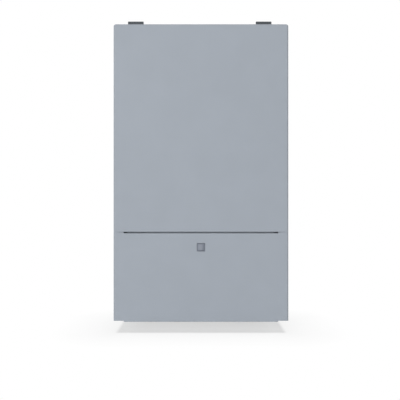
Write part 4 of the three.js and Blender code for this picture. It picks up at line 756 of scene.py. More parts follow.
def pan_outline(inset):
    """From the left foot up and over the round top corners to the right foot."""
    reach, radius, centre_z = HALF_WIDTH - inset, CORNER - inset, TOP_Z - CORNER
    left = arc((CORNER - HALF_WIDTH, centre_z), radius, 180, 90)
    right = arc((HALF_WIDTH - CORNER, centre_z), radius, 90, 0)
    return [(-reach, SEAM_Z)] + left + right + [(reach, SEAM_Z)]


def front_bend():
    """(inset, y) pairs around the bend from a flank to the front."""
    return [(inset, FRONT_Y + ahead) for inset, ahead in quarter_bend(BEND, BEND_STEPS)]


def add_fold(points, faces, edge_z, sign, depth):
    """A flange folded inwards along an edge, added as pairs of points; returns its first pair's place."""
    first = len(points)
    rows = [(FRONT_Y + inwards, edge_z + sign * rise) for inwards, rise in quarter_bend(FOLD, FOLD_STEPS)]
    for y, z in rows + [(FRONT_Y + depth, edge_z)]:
        points += [(-SLOT_X, y, z), (SLOT_X, y, z)]
    faces += [[k, k + 1, k + 3, k + 2] for k in range(first, len(points) - 2, 2)]
    return first


def upper_panel():
    """A pressed pan: round front edges, returns to the rear and a folded flange along its foot."""
    loops = [at_height("Y", pan_outline(inset), y) for inset, y in [(0, RETURN_Y)] + front_bend()]
    points = [point for loop in loops for point in loop]
    faces = bridged(loops, closed=False)
    front = list(range(len(points) - len(loops[0]), len(points)))
    slot = len(points)
    points += [(SLOT_X, FRONT_Y, SEAM_Z), (-SLOT_X, FRONT_Y, SEAM_Z)]
    fold = add_fold(points, faces, SEAM_Z, 1, 14)
    faces.append(front + [slot, fold + 1, fold, slot + 1])
    panel = sheet_metal("upper_front_shell", points, faces)
    stud_profile = ((0, FRONT_Y + 0.6), (3, FRONT_Y + 0.6), (3, -250.6), (2, -249.4), (0, -249.4))
    fused(panel, [turned("Y", place, stud_profile, 24) for place in product((-STUD_X, STUD_X), STUD_ZS)])
    finish(panel, "powder_coat", "upper_front_panel", body="upper_panel", angle=40)


def lower_flap():
    """A channel of sheet with a flange above and a lip below, its ears cut back beside them."""
    left = [(-HALF_WIDTH, RETURN_Y)] + [(inset - HALF_WIDTH, y) for inset, y in front_bend()]
    section = left + [(-x, y) for x, y in left[::-1]]
    loops = [at_height("Z", section, z) for z in (EAR_BOTTOM_Z, EAR_TOP_Z)]
    points = loops[0] + loops[1]
    count, flat = len(section), len(left) - 1
    faces = bridged(loops, closed=False)
    del faces[flat]
    top = add_fold(points, faces, FLAP_TOP_Z, -1, 10)
    foot = add_fold(points, faces, LIP_Z, 1, 14)
    high = len(points)
    low = high + 2
    points += [(x, FRONT_Y, z) for z in (EAR_TOP_Z, EAR_BOTTOM_Z) for x in (-SLOT_X, SLOT_X)]
    faces.append([flat, low, foot, foot + 1, low + 1, flat + 1,
                  count + flat + 1, high + 1, top + 1, top, high, count + flat])
    flap = sheet_metal("lower_front_shell", points, faces)
    across, rear_y, low_z, chamfer, drop = (-210, 210), -250, -680, 3.6, 1.6
    rear = [(RETURN_Y, EAR_BOTTOM_Z + chamfer), (RETURN_Y - chamfer, EAR_BOTTOM_Z),
            (RETURN_Y - chamfer, low_z), (rear_y, low_z), (rear_y, EAR_BOTTOM_Z + chamfer)]
    pierced(flap, [bar("Y", LATCH, 9.9, 9.9, 1.4, -290, -270, 4), extruded("X", rear, *across),
                   slab(across, (FRONT_Y + BEND, rear_y), (EAR_TOP_Z - drop, EAR_TOP_Z + 5)),
                   rod("X", HINGE, 2.8, *across, 32)])
    finish(flap, "powder_coat", "front_flap", body="flap", angle=40)


def latch_cap():
    """The square push button: flanks that fall away on all sides, on a rim, with the plug of its spring."""
    face_y = -281.2
    rings = [(10.9, 10.9, 1.2, 3.9), (10.9, 10.9, 1.2, 3.5), (9.2, 9.25, 1.2, 3.5), (9.15, 9.2, 1.2, 3.2),
             (7, 8, 1, 1.75), (4.6, 6.9, 0.8, 0.4), (3.3, 6.3, 0.6, 0.06), (2.9, 6, 0.5, 0)]
    cap = lofted([at_height("Y", rounded_square(LATCH, across, up, radius, 4), face_y + behind)
                  for across, up, radius, behind in rings])
    profile = ((0, 3.6), (4.9, 3.6), (4.9, 7), (4.5, 7.4), (0, 7.4))
    plug = turned("Y", LATCH, [(radius, face_y + behind) for radius, behind in profile], 32)
    part("latch_cap", "button_coat", [cap, plug], "latch_button", edge=0.1, body="button")


def side_panel(side, sign):
    """A side skin whose top edge is rolled over, with flanges that face the front."""
    centre = (HALF_WIDTH - CORNER, TOP_Z - CORNER)
    outline = [(INNER_X, EAR_BOTTOM_Z), (HALF_WIDTH, EAR_BOTTOM_Z)] + arc(centre, CORNER, 0, 90)
    outline += [(HALF_WIDTH - 12, TOP_Z), (HALF_WIDTH - 12, UNDER_Z)] + arc(centre, CORNER - SHEET, 90, 0)
    panel = solid(side + "_side_skin", extruded("Y", [(sign * x, z) for x, z in outline], SIDE_FRONT_Y, 0))
    root = sign * (INNER_X + SHEET / 2)
    fused(panel, [slab((sign * 174, root), SIDE_FLANGE, (SEAM_Z, CORNER_Z)),
                  slab((sign * (INNER_X - 8), root), SIDE_FLANGE, (EAR_BOTTOM_Z, SEAM_Z))])
    holes = [rod("Y", (sign * STUD_X, z), 6.3, -262, -250, 32) for z in STUD_ZS]
    dimple = [(radius, sign * x) for radius, x in ((0, 210), (4.6, 210), (4.6, 204.6), (3.2, 203), (0, 203))]
    screw_places = [(-14, z) for z in SIDE_SCREW_ZS]
    pierced(panel, holes + [turned("X", place, dimple, 32) for place in screw_places])
    finish(panel, "powder_coat", side + "_side_panel", edge=0.3, angle=40)
    screws(side + "_side_screws", "X", screw_places, sign * 202.6, sign, radius=3.2, high=2)


def top_cover():
    """The roof with its front flange, the flue hole, pressed grooves and the hanger notches."""
    roof = solid("roof_sheet", slab((-ROOF_X, ROOF_X), (SIDE_FRONT_Y, 0), (UNDER_Z - SHEET, UNDER_Z)))
    fused(roof, [slab((-173.7, 173.7), SIDE_FLANGE, (TOP_Z - 24, UNDER_Z - SHEET / 2))])
    tools = [rod("Z", FLUE, 51, 20, 40, 96)]
    tools += [slab((x - 22, x + 22), (-4.5, 5), (20, 40)) for x in HANGER_XS.values()]
    tools += [bar("Z", place, 34, 2.5, 2.4, UNDER_Z - 0.6, UNDER_Z + 5, 4)
              for place in product((-110, 110), (-150, -60))]
    pierced(roof, tools)
    finish(roof, "powder_coat", "top_cover", edge=0.3, angle=40)
    screws("roof_screws", "Z", product((-186, 186), (-244, -130, -18)), UNDER_Z, 1, radius=3.6, high=1.9)


def flue_socket():
    """The collar with its seal."""
    part("flue_socket", "black_plastic", [turned("Z", FLUE, (
        (48.5, 18.8), (50.5, 18.8), (50.5, 28.8), (68, 28.8), (68, 30.4), (67.4, 31.3), (66.4, 31.8),
        (55, 31.8), (52.6, 32.6), (51.2, 34.2), (50.7, 36.5), (50.5, 43), (50.9, 44.4), (52, 45), (52.6, 46),
        (52.6, 48.4), (52.2, 49.5), (51.2, 50), (49.4, 50), (48.7, 49.6), (48.5, 49), (48.5, 43), (46.9, 42),
        (46.9, 40.4), (48.5, 39.6)), 96)], "flue_collar")
    part("flue_seal", "rubber", [turned("Z", FLUE, (
        (48.45, 47.6), (46.6, 47.2), (45.6, 46), (46.8, 45.6), (46.4, 44.4), (48.45, 43.8)), 96)])


def flue_pipe():
    """The inner pipe with its rolled rim."""
    part("flue_inner_pipe", "white_plastic", [turned("Z", FLUE, (
        (30, -104.7), (31.5, -104.7), (31.5, 44.4), (32.3, 45.2), (32.5, 46.4), (32.1, 47.5), (31.2, 48),
        (30.4, 47.7), (30, 47)), 96)], "flue_pipe", edge=0.15)


def flue_fittings():
    """The sampling caps and the screws on the collar."""
    cap = ((0, 31.6), (6.4, 31.6), (6.4, 34), (5.6, 34.6), (5.6, 39.4), (5, 40.2), (0, 40.2))
    caps = []
    for angle in (215, 325):
        x, y = polar(FLUE, 59.8, angle)
        caps += [turned("Z", (x, y), cap, 40), slab((x - 0.8, x + 0.8), (y - 4.4, y + 4.4), (40, 42))]
    hardware("sampling_caps", "black_plastic", caps, edge=0.3)
    places = [polar(FLUE, 60.5, angle) for angle in (20, 90, 160, 270)]
    screws("collar_screws", "Z", places, 31.8, 1, radius=3.4, high=2)


def rear_frame():
    """The rear plate with pressed stiffening grooves and its two side flanges."""
    foot, cover_z = LIP_Z + 8, TOP_Z - 2 * SHEET
    right = [(INNER_X, foot), (INNER_X, CORNER_Z), (ROOF_X, CORNER_Z), (ROOF_X, cover_z)]
    outline = right + [(-x, z) for x, z in right[::-1]]
    plate = solid("rear_plate", extruded("Y", outline, -SHEET, 0))
    fused(plate, [slab((sign * INNER_X, sign * (INNER_X - SHEET)), (-30, -SHEET / 2), (foot, CORNER_Z))
                  for sign in (-1, 1)])
    grooves = [((0, z), 150, 5) for z in (-40, -150, -330, -510, -625)]
    grooves += [((x, -330), 5, 270) for x in (-178, 178)]
    tools = [bar("Y", *groove, 4.9, -0.65, 5) for groove in grooves]
    pierced(plate, tools + [rod("Y", place, 6, -5, 5, 40) for place in product((-178, 178), (-640, 0))])
    finish(plate, "zinc_steel", "rear_frame", edge=0.25, angle=40)


def hanger(side, x):
    """A lug of dark steel with the slot that drops over a wall hook."""
    lug = solid(side + "_lug", bar("Y", (x, 12), 20.5, 72, 1.6, -3.7, -1.2))
    pierced(lug, [bar("Y", (x, 59), 5, 13, 4.99, -10, 5, 8)])
    finish(lug, "dark_steel", side + "_hanger", edge=0.4, angle=40)
    screws(side + "_lug_screws", "Y", product((x - 11, x + 11), (-46, 4)), -3.7, -1, radius=4, high=2.4)


def rail_lip():
    """The lip under the cross rail that closes the view through the slot between the fronts."""
    span = (-173, 173)
    part("rail_lip", "powder_coat", [slab(span, (-265.6, -264.6), (-462.4, -457.4)),
                                     slab(span, (-265.2, -256.4), (-458.4, -457.4))], edge=0.3, angle=40)


upper_panel()
lower_flap()
latch_cap()
side_panel("left", -1)
side_panel("right", 1)
top_cover()
flue_socket()
flue_pipe()
flue_fittings()
rear_frame()
for hanger_side, hanger_x in HANGER_XS.items():
    hanger(hanger_side, hanger_x)
rail_lip()


# Control unit

ROW_Z = -560
FASCIA_Y = -262
FACE_Y = FASCIA_Y - 3
DIAL_Y = FASCIA_Y + 0.5
PRINT = (FASCIA_Y - 0.08, FASCIA_Y + 0.05)
KNOBS = {"heating_dial": (105, "heating_knob"), "water_dial": (152, "hot_water_knob")}
GAUGE = (-120, ROW_Z)
STANDBY = (-62, ROW_Z)
DISPLAY = (15, ROW_Z)
STROKES = {"a": (0, 1), "g": (0, 0), "d": (0, -1), "f": (-1, 0.5), "b": (1, 0.5), "e": (-1, -0.5),
           "c": (1, -0.5)}
LEVEL_STROKES = "agd"
DIGITS = {"0": "abcdef", "1": "bc", "2": "abged", "3": "abgcd", "4": "fgbc", "5": "afgcd", "6": "afgedc",
          "8": "abcdefg"}


def seven_segments(text, centre, tall, span):
    """A number in seven-segment strokes that face the front."""
    wide, thick = tall * 0.5, tall * 0.12
    pitch = wide * 1.55
    shapes = []
    for index, digit in enumerate(text):
        middle = centre[0] + pitch * (index - (len(text) - 1) / 2)
        for stroke in DIGITS[digit]:
            level = stroke in LEVEL_STROKES
            across, up = STROKES[stroke]
            x, z = middle + across * wide / 2, centre[1] + up * tall / 2
            long = (wide / 2 if level else tall / 4) - thick * 0.65
            tip, half = long - thick * 0.4, thick / 2
            outline = [(-long, 0), (-tip, half), (tip, half), (long, 0), (tip, -half), (-tip, -half)]
            outline = [(x + u, z + v) if level else (x + v, z + u) for u, v in outline]
            shapes.append(extruded("Y", outline, *span))
    return shapes


def fascia():
    """The moulded front of the control box, with a recess round the display and two grooves."""
    plate = solid("fascia_moulding", slab((-190, 190), (FASCIA_Y, -259.5), (-640, -486)))
    before, behind = FASCIA_Y - 8, FASCIA_Y + 12
    holes = [(x, 3.6) for x, _ in KNOBS.values()] + [(STANDBY[0], 7.3), (GAUGE[0], 20.3)]
    tools = [rod("Y", (x, ROW_Z), radius, before, behind) for x, radius in holes]
    tools.append(bar("Y", DISPLAY, 55, 22, 3, before, behind))
    tools.append(bar("Y", DISPLAY, 58.5, 25.5, 5, before, FASCIA_Y + 0.5))
    tools += [bar("Y", (0, z), 180, 0.8, 0.7, before, FASCIA_Y + 0.4, 3) for z in (-500, -626)]
    pierced(plate, tools)
    finish(plate, "pale_plastic", "control_fascia", edge=0.35, angle=40, body="control_unit")
    places = product((-182, 182), (-493, -633))
    screws("fascia_screws", "Y", places, FASCIA_Y, -1, radius=3, high=1.6, body="control_unit")


def fascia_print():
    """Scales round the knobs, and the small symbols over them."""
    sun, drop, power = (105, -530), (152, -531), (STANDBY[0], -541)
    shapes = [ray((x, ROW_Z), 240 - 30 * step, 18.2, 20.8 if step % 5 == 0 else 19.8, 0.22, PRINT)
              for x, _ in KNOBS.values() for step in range(11)]
    for text, x in (("30", 90.5), ("80", 119.5), ("35", 137.5), ("60", 166.5)):
        shapes += seven_segments(text, (x, ROW_Z - 20), 3, PRINT)
    shapes += [ray(sun, angle, 2.4, 4.6, 0.35, PRINT) for angle in range(0, 360, 45)]
    shapes.append(extruded("Y", circle(sun, 1.6, 24), *PRINT))
    shapes.append(extruded("Y", arc(drop, 3, 150, 390, 20) + [(drop[0], drop[1] + 6.4)], *PRINT))
    shapes.append(extruded("Y", band(power, 2, 2.6, 125, 415, 24), *PRINT))
    shapes.append(slab((power[0] - 0.3, power[0] + 0.3), PRINT, (power[1] - 0.4, power[1] + 3.2)))
    hardware("fascia_print", "dark_print", shapes, edge=0, body="control_unit")


def knob(body, x, node):
    """A turned knob with a stem, a skirt, a fluted grip and a marker line."""
    face = -272
    rings = ((3, -238.3, 0), (3, -262.5, 0), (17, -262.5, 0), (17, -263.4, 0), (16.4, -264, 0),
             (14.4, -264.5, 0), (14, -265, 0.25), (13.9, -265.7, 0.55), (13.7, -270.4, 0.55),
             (13.3, -271.4, 0.25), (12.6, -271.9, 0), (12, face, 0), (11, face, 0), (10.6, -271.7, 0))
    loops = [at_height("Y", fluted((x, ROW_Z), radius, depth), y) for radius, y, depth in rings]
    part(body + "_knob", "white_plastic", [lofted(loops)], node, edge=0.12, body=body)
    line = bar("Y", (x, ROW_Z + 9.2), 0.7, 3.6, 0.6, face - 0.02, face + 0.6, 4)
    hardware(body + "_marker", "dark_print", [line], edge=0, body=body)


def display():
    """The dark window with a temperature, a level bar and a small flame behind its glass."""
    pane = bar("Y", DISPLAY, 54.7, 21.7, 2.7, FASCIA_Y, -259.2)
    lip = bar("Y", DISPLAY, 57.7, 24.7, 5, -259.2, -257.2)
    part("display_pane", "glass", [pane, lip], "display_window", edge=0.3, body="control_unit")
    span = (FASCIA_Y - 0.02, FASCIA_Y + 0.05)
    degree_sign, bars_x, bars_z = (42.5, ROW_Z + 8.5), -28, ROW_Z - 11
    shapes = seven_segments("55", (26, ROW_Z + 1), 17, span)
    shapes.append(extruded("Y", band(degree_sign, 1, 1.7, 0, 345, 23), *span))
    for step in range(5):
        x = bars_x + 4 * step
        shapes.append(slab((x, x + 2.6), span, (bars_z, bars_z + 3 + 2.2 * step)))
    flame = ((-20, 3), (-23.6, 6), (-23, 9.5), (-21.4, 11.4), (-21, 15), (-18, 12), (-16.6, 8.4), (-17.4, 5))
    shapes.append(extruded("Y", [(x, ROW_Z + rise) for x, rise in flame], *span))
    hardware("display_figures", "lit_print", shapes, edge=0, body="control_unit")


def standby_key():
    """The round push key with a dished face, its ring and its plunger."""
    part("standby_key", "white_plastic", [turned("Y", STANDBY, (
        (0, FACE_Y + 0.7), (2.5, FACE_Y + 0.6), (4.6, FACE_Y + 0.3), (5.8, FACE_Y), (6.5, FACE_Y + 0.1),
        (6.9, FACE_Y + 0.5), (7, FACE_Y + 1.1), (7, -259), (8.2, -259), (8.2, -257.8), (2.5, -257.8),
        (2.5, -231.8), (0, -231.8)))], "standby_button", edge=0.12, body="standby")


def gauge():
    """The pressure gauge: a chromed bezel, and a white dial with its scale."""
    part("gauge_shell", "stainless", [turned("Y", GAUGE, (
        (0, DIAL_Y), (20.4, DIAL_Y), (20.6, FACE_Y + 1.2), (21.2, FACE_Y + 0.3), (22, FACE_Y),
        (23, FACE_Y + 0.2), (23.8, FACE_Y + 1), (24, FACE_Y + 2), (24, FASCIA_Y), (20, FASCIA_Y), (20, -241),
        (19, -240), (0, -240)), 96)], "gauge_body", edge=0.1, body="control_unit")
    card = solid("gauge_dial", rod("Y", GAUGE, 20.3, DIAL_Y - 0.15, DIAL_Y + 0.2, 96))
    dress(card, "white_plastic", body="control_unit")
    span = (DIAL_Y - 0.25, DIAL_Y - 0.1)
    marks = []
    for step in range(33):
        near, half = (15.4, 0.28) if step % 8 == 0 else (16.6, 0.2) if step % 4 == 0 else (17.4, 0.12)
        marks.append(ray(GAUGE, 210 - 7.5 * step, near, 19.2, half, span))
    for step in range(5):
        marks += seven_segments(str(step), polar(GAUGE, 12.4, 210 - 60 * step), 3.4, span)
    hardware("gauge_scale", "dark_print", marks, edge=0, body="control_unit")
    red = extruded("Y", band(GAUGE, 18.6, 19.6, -8, -30, 12), *span)
    hardware("gauge_red_band", "red_print", [red], edge=0, body="control_unit")


def gauge_hand():
    """The tapered needle on its hub."""
    near, far = DIAL_Y - 2, DIAL_Y - 1.3
    hand = ((-0.8, -5), (0.8, -5), (0.7, 0), (0.25, 15.6), (0, 16), (-0.25, 15.6), (-0.7, 0))
    hub = ((0, near - 0.3), (1.9, near - 0.3), (2.6, near + 0.2), (2.6, far + 0.1), (1, far + 0.1),
           (1, DIAL_Y - 0.35), (0, DIAL_Y - 0.35))
    outline = [(GAUGE[0] + x, ROW_Z + z) for x, z in hand]
    hardware("gauge_hand", "black_plastic", [extruded("Y", outline, near, far), turned("Y", GAUGE, hub, 40)],
             edge=0.05, node="gauge_needle", body="needle")


fascia()
fascia_print()
for knob_body, (knob_x, knob_node) in KNOBS.items():
    knob(knob_body, knob_x, knob_node)
display()
standby_key()
gauge()
gauge_hand()


# Heat side

DRUM = (0, -215)
ELECTRODE = (-34, -181)
IGNITION = (160, -125)
VESSEL_X = -158
VESSEL = (-121.5, -230)
VESSEL_HALF = (113.5, 200)
LEAD = ((160, -44.5, -125), (160, -62, -125), (152, -110, -112), (120, -165, -100), (75, -205, -96),
        (30, -228, -108), (0, -242, -132), (-20, -250, -156), (-31, -247, -174), (-34, -236, -181),
        (-34, -219.3, -181))


def drum_shell():
    """The stainless pot with rolled beads, its stands, spigots, condensate spout and flue neck."""
    pot = [(0, -18), (103, -18), (105, -20)] + grooved(105, 103.6, (-52, -96, -140), -2, -4)
    pot += [(105, -185), (88, -185), (88, -180), (100, -180), (100, -23), (0, -23)]
    spigot = ((0, -315.2), (10, -315.2), (11, -314.4), (11, -310), (10.4, -309), (10.4, -306.4), (11, -305.4),
              (11, -298), (0, -298))
    spout = ((0, -321.9), (9, -321.9), (10, -321), (10, -302), (0, -302))
    neck = ((0, -162.5), (36.5, -162.5), (36.5, -92), (37.6, -90.6), (37.6, -87), (36.5, -85.4), (35.6, -85),
            (0, -85))
    shell = solid("exchanger_pot", turned("Y", DRUM, pot, 96))
    fused(shell, [rod("Y", place, 8, -20.5, -1.2, 32) for place in product((-70, 70), (-285, -145))]
          + [turned("Z", (x, -50), spigot, 48) for x in (-60, 60)]
          + [turned("Z", (45, -110), spout, 48), turned("Z", FLUE, neck, 96)])
    pierced(shell, [rod("Y", DRUM, 99.9, -181, -23, 96), rod("Z", FLUE, 28, -200, -80, 64),
                    rod("Z", FLUE, 31.8, -105, -80, 64)])
    finish(shell, "stainless", "exchanger_shell", edge=0.25)


def burner_door():
    """The cast door with a raised rim and radial ribs."""
    door = solid("burner_plate", turned("Y", DRUM, (
        (22, -197), (94, -197), (95, -196), (95, -186.4), (94, -185.4), (22, -185.4)), 96))
    pocket = ((50, -210), (76, -210), (76, -195.4), (74, -194.6), (52, -194.6), (50, -195.4))
    pierced(door, [rod("Y", ELECTRODE, 5.3, -210, -170, 32), turned("Y", DRUM, pocket, 96)])
    # The electrode stands where the rib at 135 degrees would be
    angles = [angle for angle in range(15, 360, 30) if angle != 135]
    fused(door, [ray(DRUM, angle, 48, 78, 1.4, (-196.6, -190)) for angle in angles])
    finish(door, "cast_aluminium", "burner_door", edge=0.4, angle=40)


def door_fittings():
    """The ring of nuts on studs with their washers, and the seal."""
    stud = ((0, -204.4), (2.6, -204.4), (3, -203.8), (3, -201), (0, -201))
    shapes = []
    for spot, place in enumerate(circle(DRUM, 84.5, 8, 22.5)):
        if spot not in (5, 6):  # the fan covers these two
            shapes += [nut("Y", place, 5.6, -201.6, -197), turned("Y", place, stud, 24),
                       rod("Y", place, 7, -197.9, -196.9, 32)]
    hardware("door_nuts", "zinc_steel", shapes)
    seal = ((89, -185.5), (96.4, -185.5), (97, -185.25), (96.4, -185.02), (89, -185.02))
    dress(solid("door_seal", turned("Y", DRUM, seal, 96)), "insulation")


def electrode():
    """The ribbed ceramic body of the electrode with its flange and tip."""
    body = [(0, -219), (2, -219), (2.5, -218.4), (2.5, -214), (4.4, -214), (5, -213.2)]
    body += grooved(5, 4.2, (-209.6, -205.4), 0.6, 1)
    body += [(5, -199.4), (9, -199.4), (9, -197.1), (5, -197.1), (5, -180.2), (1.5, -178), (1.5, -165),
             (0, -165)]
    part("electrode_body", "ceramic", [turned("Y", ELECTRODE, body, 40)], "ignition_electrode")


def bent(route, bend, steps=12):
    """Straight runs joined by bends, as the part's pipes run."""
    corners = [Vector(place) for place in route]
    points = [corners[0]]
    for last, corner, after in zip(corners, corners[1:], corners[2:]):
        start = corner + (last - corner).normalized() * bend
        end = corner + (after - corner).normalized() * bend
        for i in range(steps + 1):
            t = i / steps
            points.append(start * (1 - t) ** 2 + corner * (2 * t * (1 - t)) + end * t ** 2)
    return points + [corners[-1]]


def between(start, end, low, high, t):
    """The point at time t on the line through start at time low and end at time high."""
    return start * ((high - t) / (high - low)) + end * ((t - low) / (high - low))


def curved(route, steps=14):
    """A centripetal curve through the points, as the part's lead runs."""
    places = [Vector(place) for place in route]
    ends = [places[0] * 2 - places[1]] + places + [places[-1] * 2 - places[-2]]
    points = []
    for p0, p1, p2, p3 in zip(ends, ends[1:], ends[2:], ends[3:]):
        t1 = (p1 - p0).length ** 0.5
        t2 = t1 + (p2 - p1).length ** 0.5
        t3 = t2 + (p3 - p2).length ** 0.5
        for i in range(steps):
            t = t1 + (t2 - t1) * i / steps
            a1, a2, a3 = between(p0, p1, 0, t1, t), between(p1, p2, t1, t2, t), between(p2, p3, t2, t3, t)
            points.append(between(between(a1, a2, 0, t2, t), between(a2, a3, t1, t3, t), t1, t2, t))
    return points + [places[-1]]


def corrugated(path, pitch, depth):
    """The path cut into short even steps, each with the depth of its groove."""
    lengths = [(b - a).length for a, b in zip(path, path[1:])]
    total, steps, plain = sum(lengths), 6, 8
    count = int(total / pitch) * steps
    points, depths = [], []
    for i in range(count + 1):
        far = total * i / count
        k = 0
        while k < len(lengths) - 1 and far > lengths[k]:
            far -= lengths[k]
            k += 1
        points.append(path[k].lerp(path[k + 1], min(1, far / lengths[k])))
        depths.append(0 if min(i, count - i) < plain else depth * (0.5 - 0.5 * math.cos(TURN * i / steps)))
    return points, depths


def tube(name, look, route, radius, node, ribs=None, body="chassis"):
    """A round tube along a route; ribs gives the (pitch, depth) of a corrugated hose."""
    path = [route[0]]
    for point in route[1:]:
        if (point - path[-1]).length > TUBE_STEP:
            path.append(point)
    depths = [0] * len(path)
    if ribs:
        path, depths = corrugated(path, *ribs)
    sides, loops = TUBE_SIDES if radius > THIN_TUBE else THIN_SIDES, []
    across = (path[1] - path[0]).normalized().orthogonal().normalized()
    for i, point in enumerate(path):
        tangent = (path[min(i + 1, len(path) - 1)] - path[max(i - 1, 0)]).normalized()
        across = (across - tangent * across.dot(tangent)).normalized()
        other = tangent.cross(across)
        loops.append([point + (across * u + other * v) for u, v in circle((0, 0), radius - depths[i], sides)])
    piece = solid(name, lofted(loops))
    shade_smooth(piece)
    return dress(piece, look, node, body)


def ignition_parts():
    """The ignition unit with its cover seam, its lead and the boots at both ends."""
    spigot = ((0, -44.2), (4.4, -44.2), (5, -43.6), (5, -41), (8, -41), (8, -40), (0, -40))
    part("ignition_case", "black_plastic", [
        bar("Y", IGNITION, 30, 35, 4, -9, -1.2), bar("Y", IGNITION, 29.4, 34.4, 3.6, -9.8, -8.8),
        bar("Y", IGNITION, 30, 35, 4, -41.2, -9.6), turned("Y", IGNITION, spigot, 40),
        slab((136, 184), (-41.8, -41), (-157, -145))], "ignition_unit", edge=0.5)
    tube("ignition_cable", "red_plastic", curved(LEAD), 3, "ignition_lead")
    boots = (("electrode_boot", ELECTRODE, ((0, -232), (3.4, -232), (3.8, -231), (5.2, -226), (5.6, -225),
                                            (5.6, -216), (5.2, -214.6), (2.6, -214.6), (0, -214.6))),
             ("ignition_boot", IGNITION, ((0, -56), (3.4, -56), (3.8, -55), (5, -50), (6, -49), (6, -44),
                                          (0, -44))))
    for name, centre, profile in boots:
        part(name, "black_plastic", [turned("Y", centre, profile, 40)], slotted=False)


def vessel_parts():
    """The red pressure vessel: two drawn shells that meet in a rolled rim, held by a bracket."""
    (half_y, half_z), corner, half_x, drawn = VESSEL_HALF, 40, 40, 16
    shapes = []
    for sign in (-1, 1):
        loops = []
        for inset, left in [(0, half_x)] + quarter_bend(drawn, 8):
            outline = rounded_square(VESSEL, half_y - inset, half_z - inset, corner - inset, 10)
            loops.append(at_height("X", outline, VESSEL_X + sign * (half_x - left)))
        shapes.append(lofted(loops))
    for wider, reach in ((3, 3), (4, 2)):
        shapes.append(bar("X", VESSEL, half_y + wider, half_z + wider, corner + wider,
                          VESSEL_X - reach, VESSEL_X + reach, 12))
    part("vessel_shells", "red_paint", shapes, "expansion_vessel", edge=0.8, segments=3)
    bracket = slab((-188, -128), (-9, -1.2), (-290, -170))
    part("vessel_bracket", "zinc_steel", [bracket], edge=1, angle=40)
    valve = ((0, -243.6), (2.6, -243.6), (3.4, -243), (3.6, -240), (4.4, -239.6), (4.4, -237), (6.4, -236.4),
             (7, -235), (7, -233.6), (0, -233.6))
    part("vessel_valve", "black_plastic", [turned("Y", (VESSEL_X, -100), valve, 32)], slotted=False)


drum_shell()
burner_door()
door_fittings()
electrode()
ignition_parts()
vessel_parts()


# Air and gas side

FAN = (-20, -362)
VALVE = (142.5, -362)
GAS_PORT = (145, -178)
MIXER_ARM = (-175, -362)
SILENCER = (-45, -368.5)
CAST = (-245, -197.05)


def fan_scroll():
    """The cast fan scroll with its seam, its outlet and the ring of screws."""
    def scroll(wider, low, high):
        foot = [(6 - wider, -296), (6 - wider, -290), (46 + wider, -290)]
        return extruded("Y", arc(FAN, 66 + wider, 0, -270, 60) + foot, low, high)
    body = solid("fan_scroll", scroll(0, *CAST))
    fused(body, [scroll(1.2, -224, -220)])
    pierced(body, [rod("Y", FAN, 63, -242, -200, 72), slab((9, 43), (-242, -200), (-362, -280)),
                   rod("Y", FAN, 24, -203, -190), rod("Y", FAN, 5, -250, -239, 32)])
    finish(body, "cast_aluminium", "fan_housing", edge=0.6)
    screws("fan_screws", "Y", circle(FAN, 62, 8, 200)[:7], CAST[0], -1, radius=3.2, high=2)


def fan_motor():
    """The motor on the front of the fan, with its plug."""
    can = [(0, -271), (8, -271), (9, -272), (27, -272), (29.2, -271.2), (30, -269.6)]
    can += grooved(30, 29.4, (-262, -256), 0.4, 1)
    can += [(30, -250.4), (31, -249.4), (35, -249), (36, -248), (36, -245.02), (5, -245.02), (5, -254),
            (0, -254)]
    part("fan_motor_can", "black_plastic", [turned("Y", FAN, can, 96)], "fan_motor")
    part("fan_motor_plug", "pale_plastic", [slab((-34, -6), (-268, -252), (-400, -390)),
                                            slab((-30, -10), (-265, -255), (-404, -399))], edge=0.8)


def mixture_elbow():
    """The cast mixture elbow, with ribs and bolted flanges."""
    side = ((6, -290), (46, -290), (46, -225), (20, -191), (14, -190), (-20, -190), (-26, -196), (-26, -240),
            (-8, -254), (6, -262))
    shell = solid("mixture_elbow", extruded("Y", side, *CAST))
    fused(shell, [slab((0.5, 46), CAST, (-290, -285))]
          + [slab((-22, 42), (-245.9, -240), (z, z + 2)) for z in (-240, -226, -212)])
    pierced(shell, [slab((9, 43), (-242, -200), (-300, -230)), rod("Y", DRUM, 22, -203, -190)])
    finish(shell, "cast_aluminium", "burner_elbow", edge=1, segments=3, angle=35)
    places = ((-19, -197), (14, -197), (-19, -233), (38, -281), (12, -281))
    screws("elbow_screws", "Y", places, CAST[0], -1, radius=3.4, high=2.4)


def gas_valve():
    """The gas valve: a cast block with its coil, adjusters, plug, test points and port nut."""
    port = ((0, -415), (11.4, -415), (12, -414.2), (12, -400), (0, -400))
    part("valve_block", "cast_aluminium", [
        bar("Y", VALVE, 37.5, 40, 5, -213, -147), bar("Y", VALVE, 34, 36.5, 5, -215, -145),
        turned("Z", GAS_PORT, port, 40)], "gas_valve", edge=1, segments=3, angle=40)
    coil = ((0, -232), (5, -232), (5, -233), (11, -233), (13.6, -232.4), (14.6, -231), (15, -229), (15, -216),
            (17, -215.6), (17, -213), (0, -213))
    part("valve_coil", "black_plastic", [slab((129.5, 155.5), (-210, -150), (-325, -310.5)),
                                         turned("Y", VALVE, coil, 56)], edge=0.8)
    hardware("valve_port_nut", "brass", [nut("Z", GAS_PORT, 14.4, -413, -404)], edge=0.3)
    test_point = ((0, -222), (1.6, -222), (2.2, -221), (2.2, -218), (3, -217.6), (3, -214), (0, -214))
    heads = [screw_head("Y", place, -215, -1, 3, 2) for place in product((112, 173), (-330, -394))]
    hardware("valve_screws", "brass", heads + [turned("Y", (x, -385), test_point, 24) for x in (120, 128)])


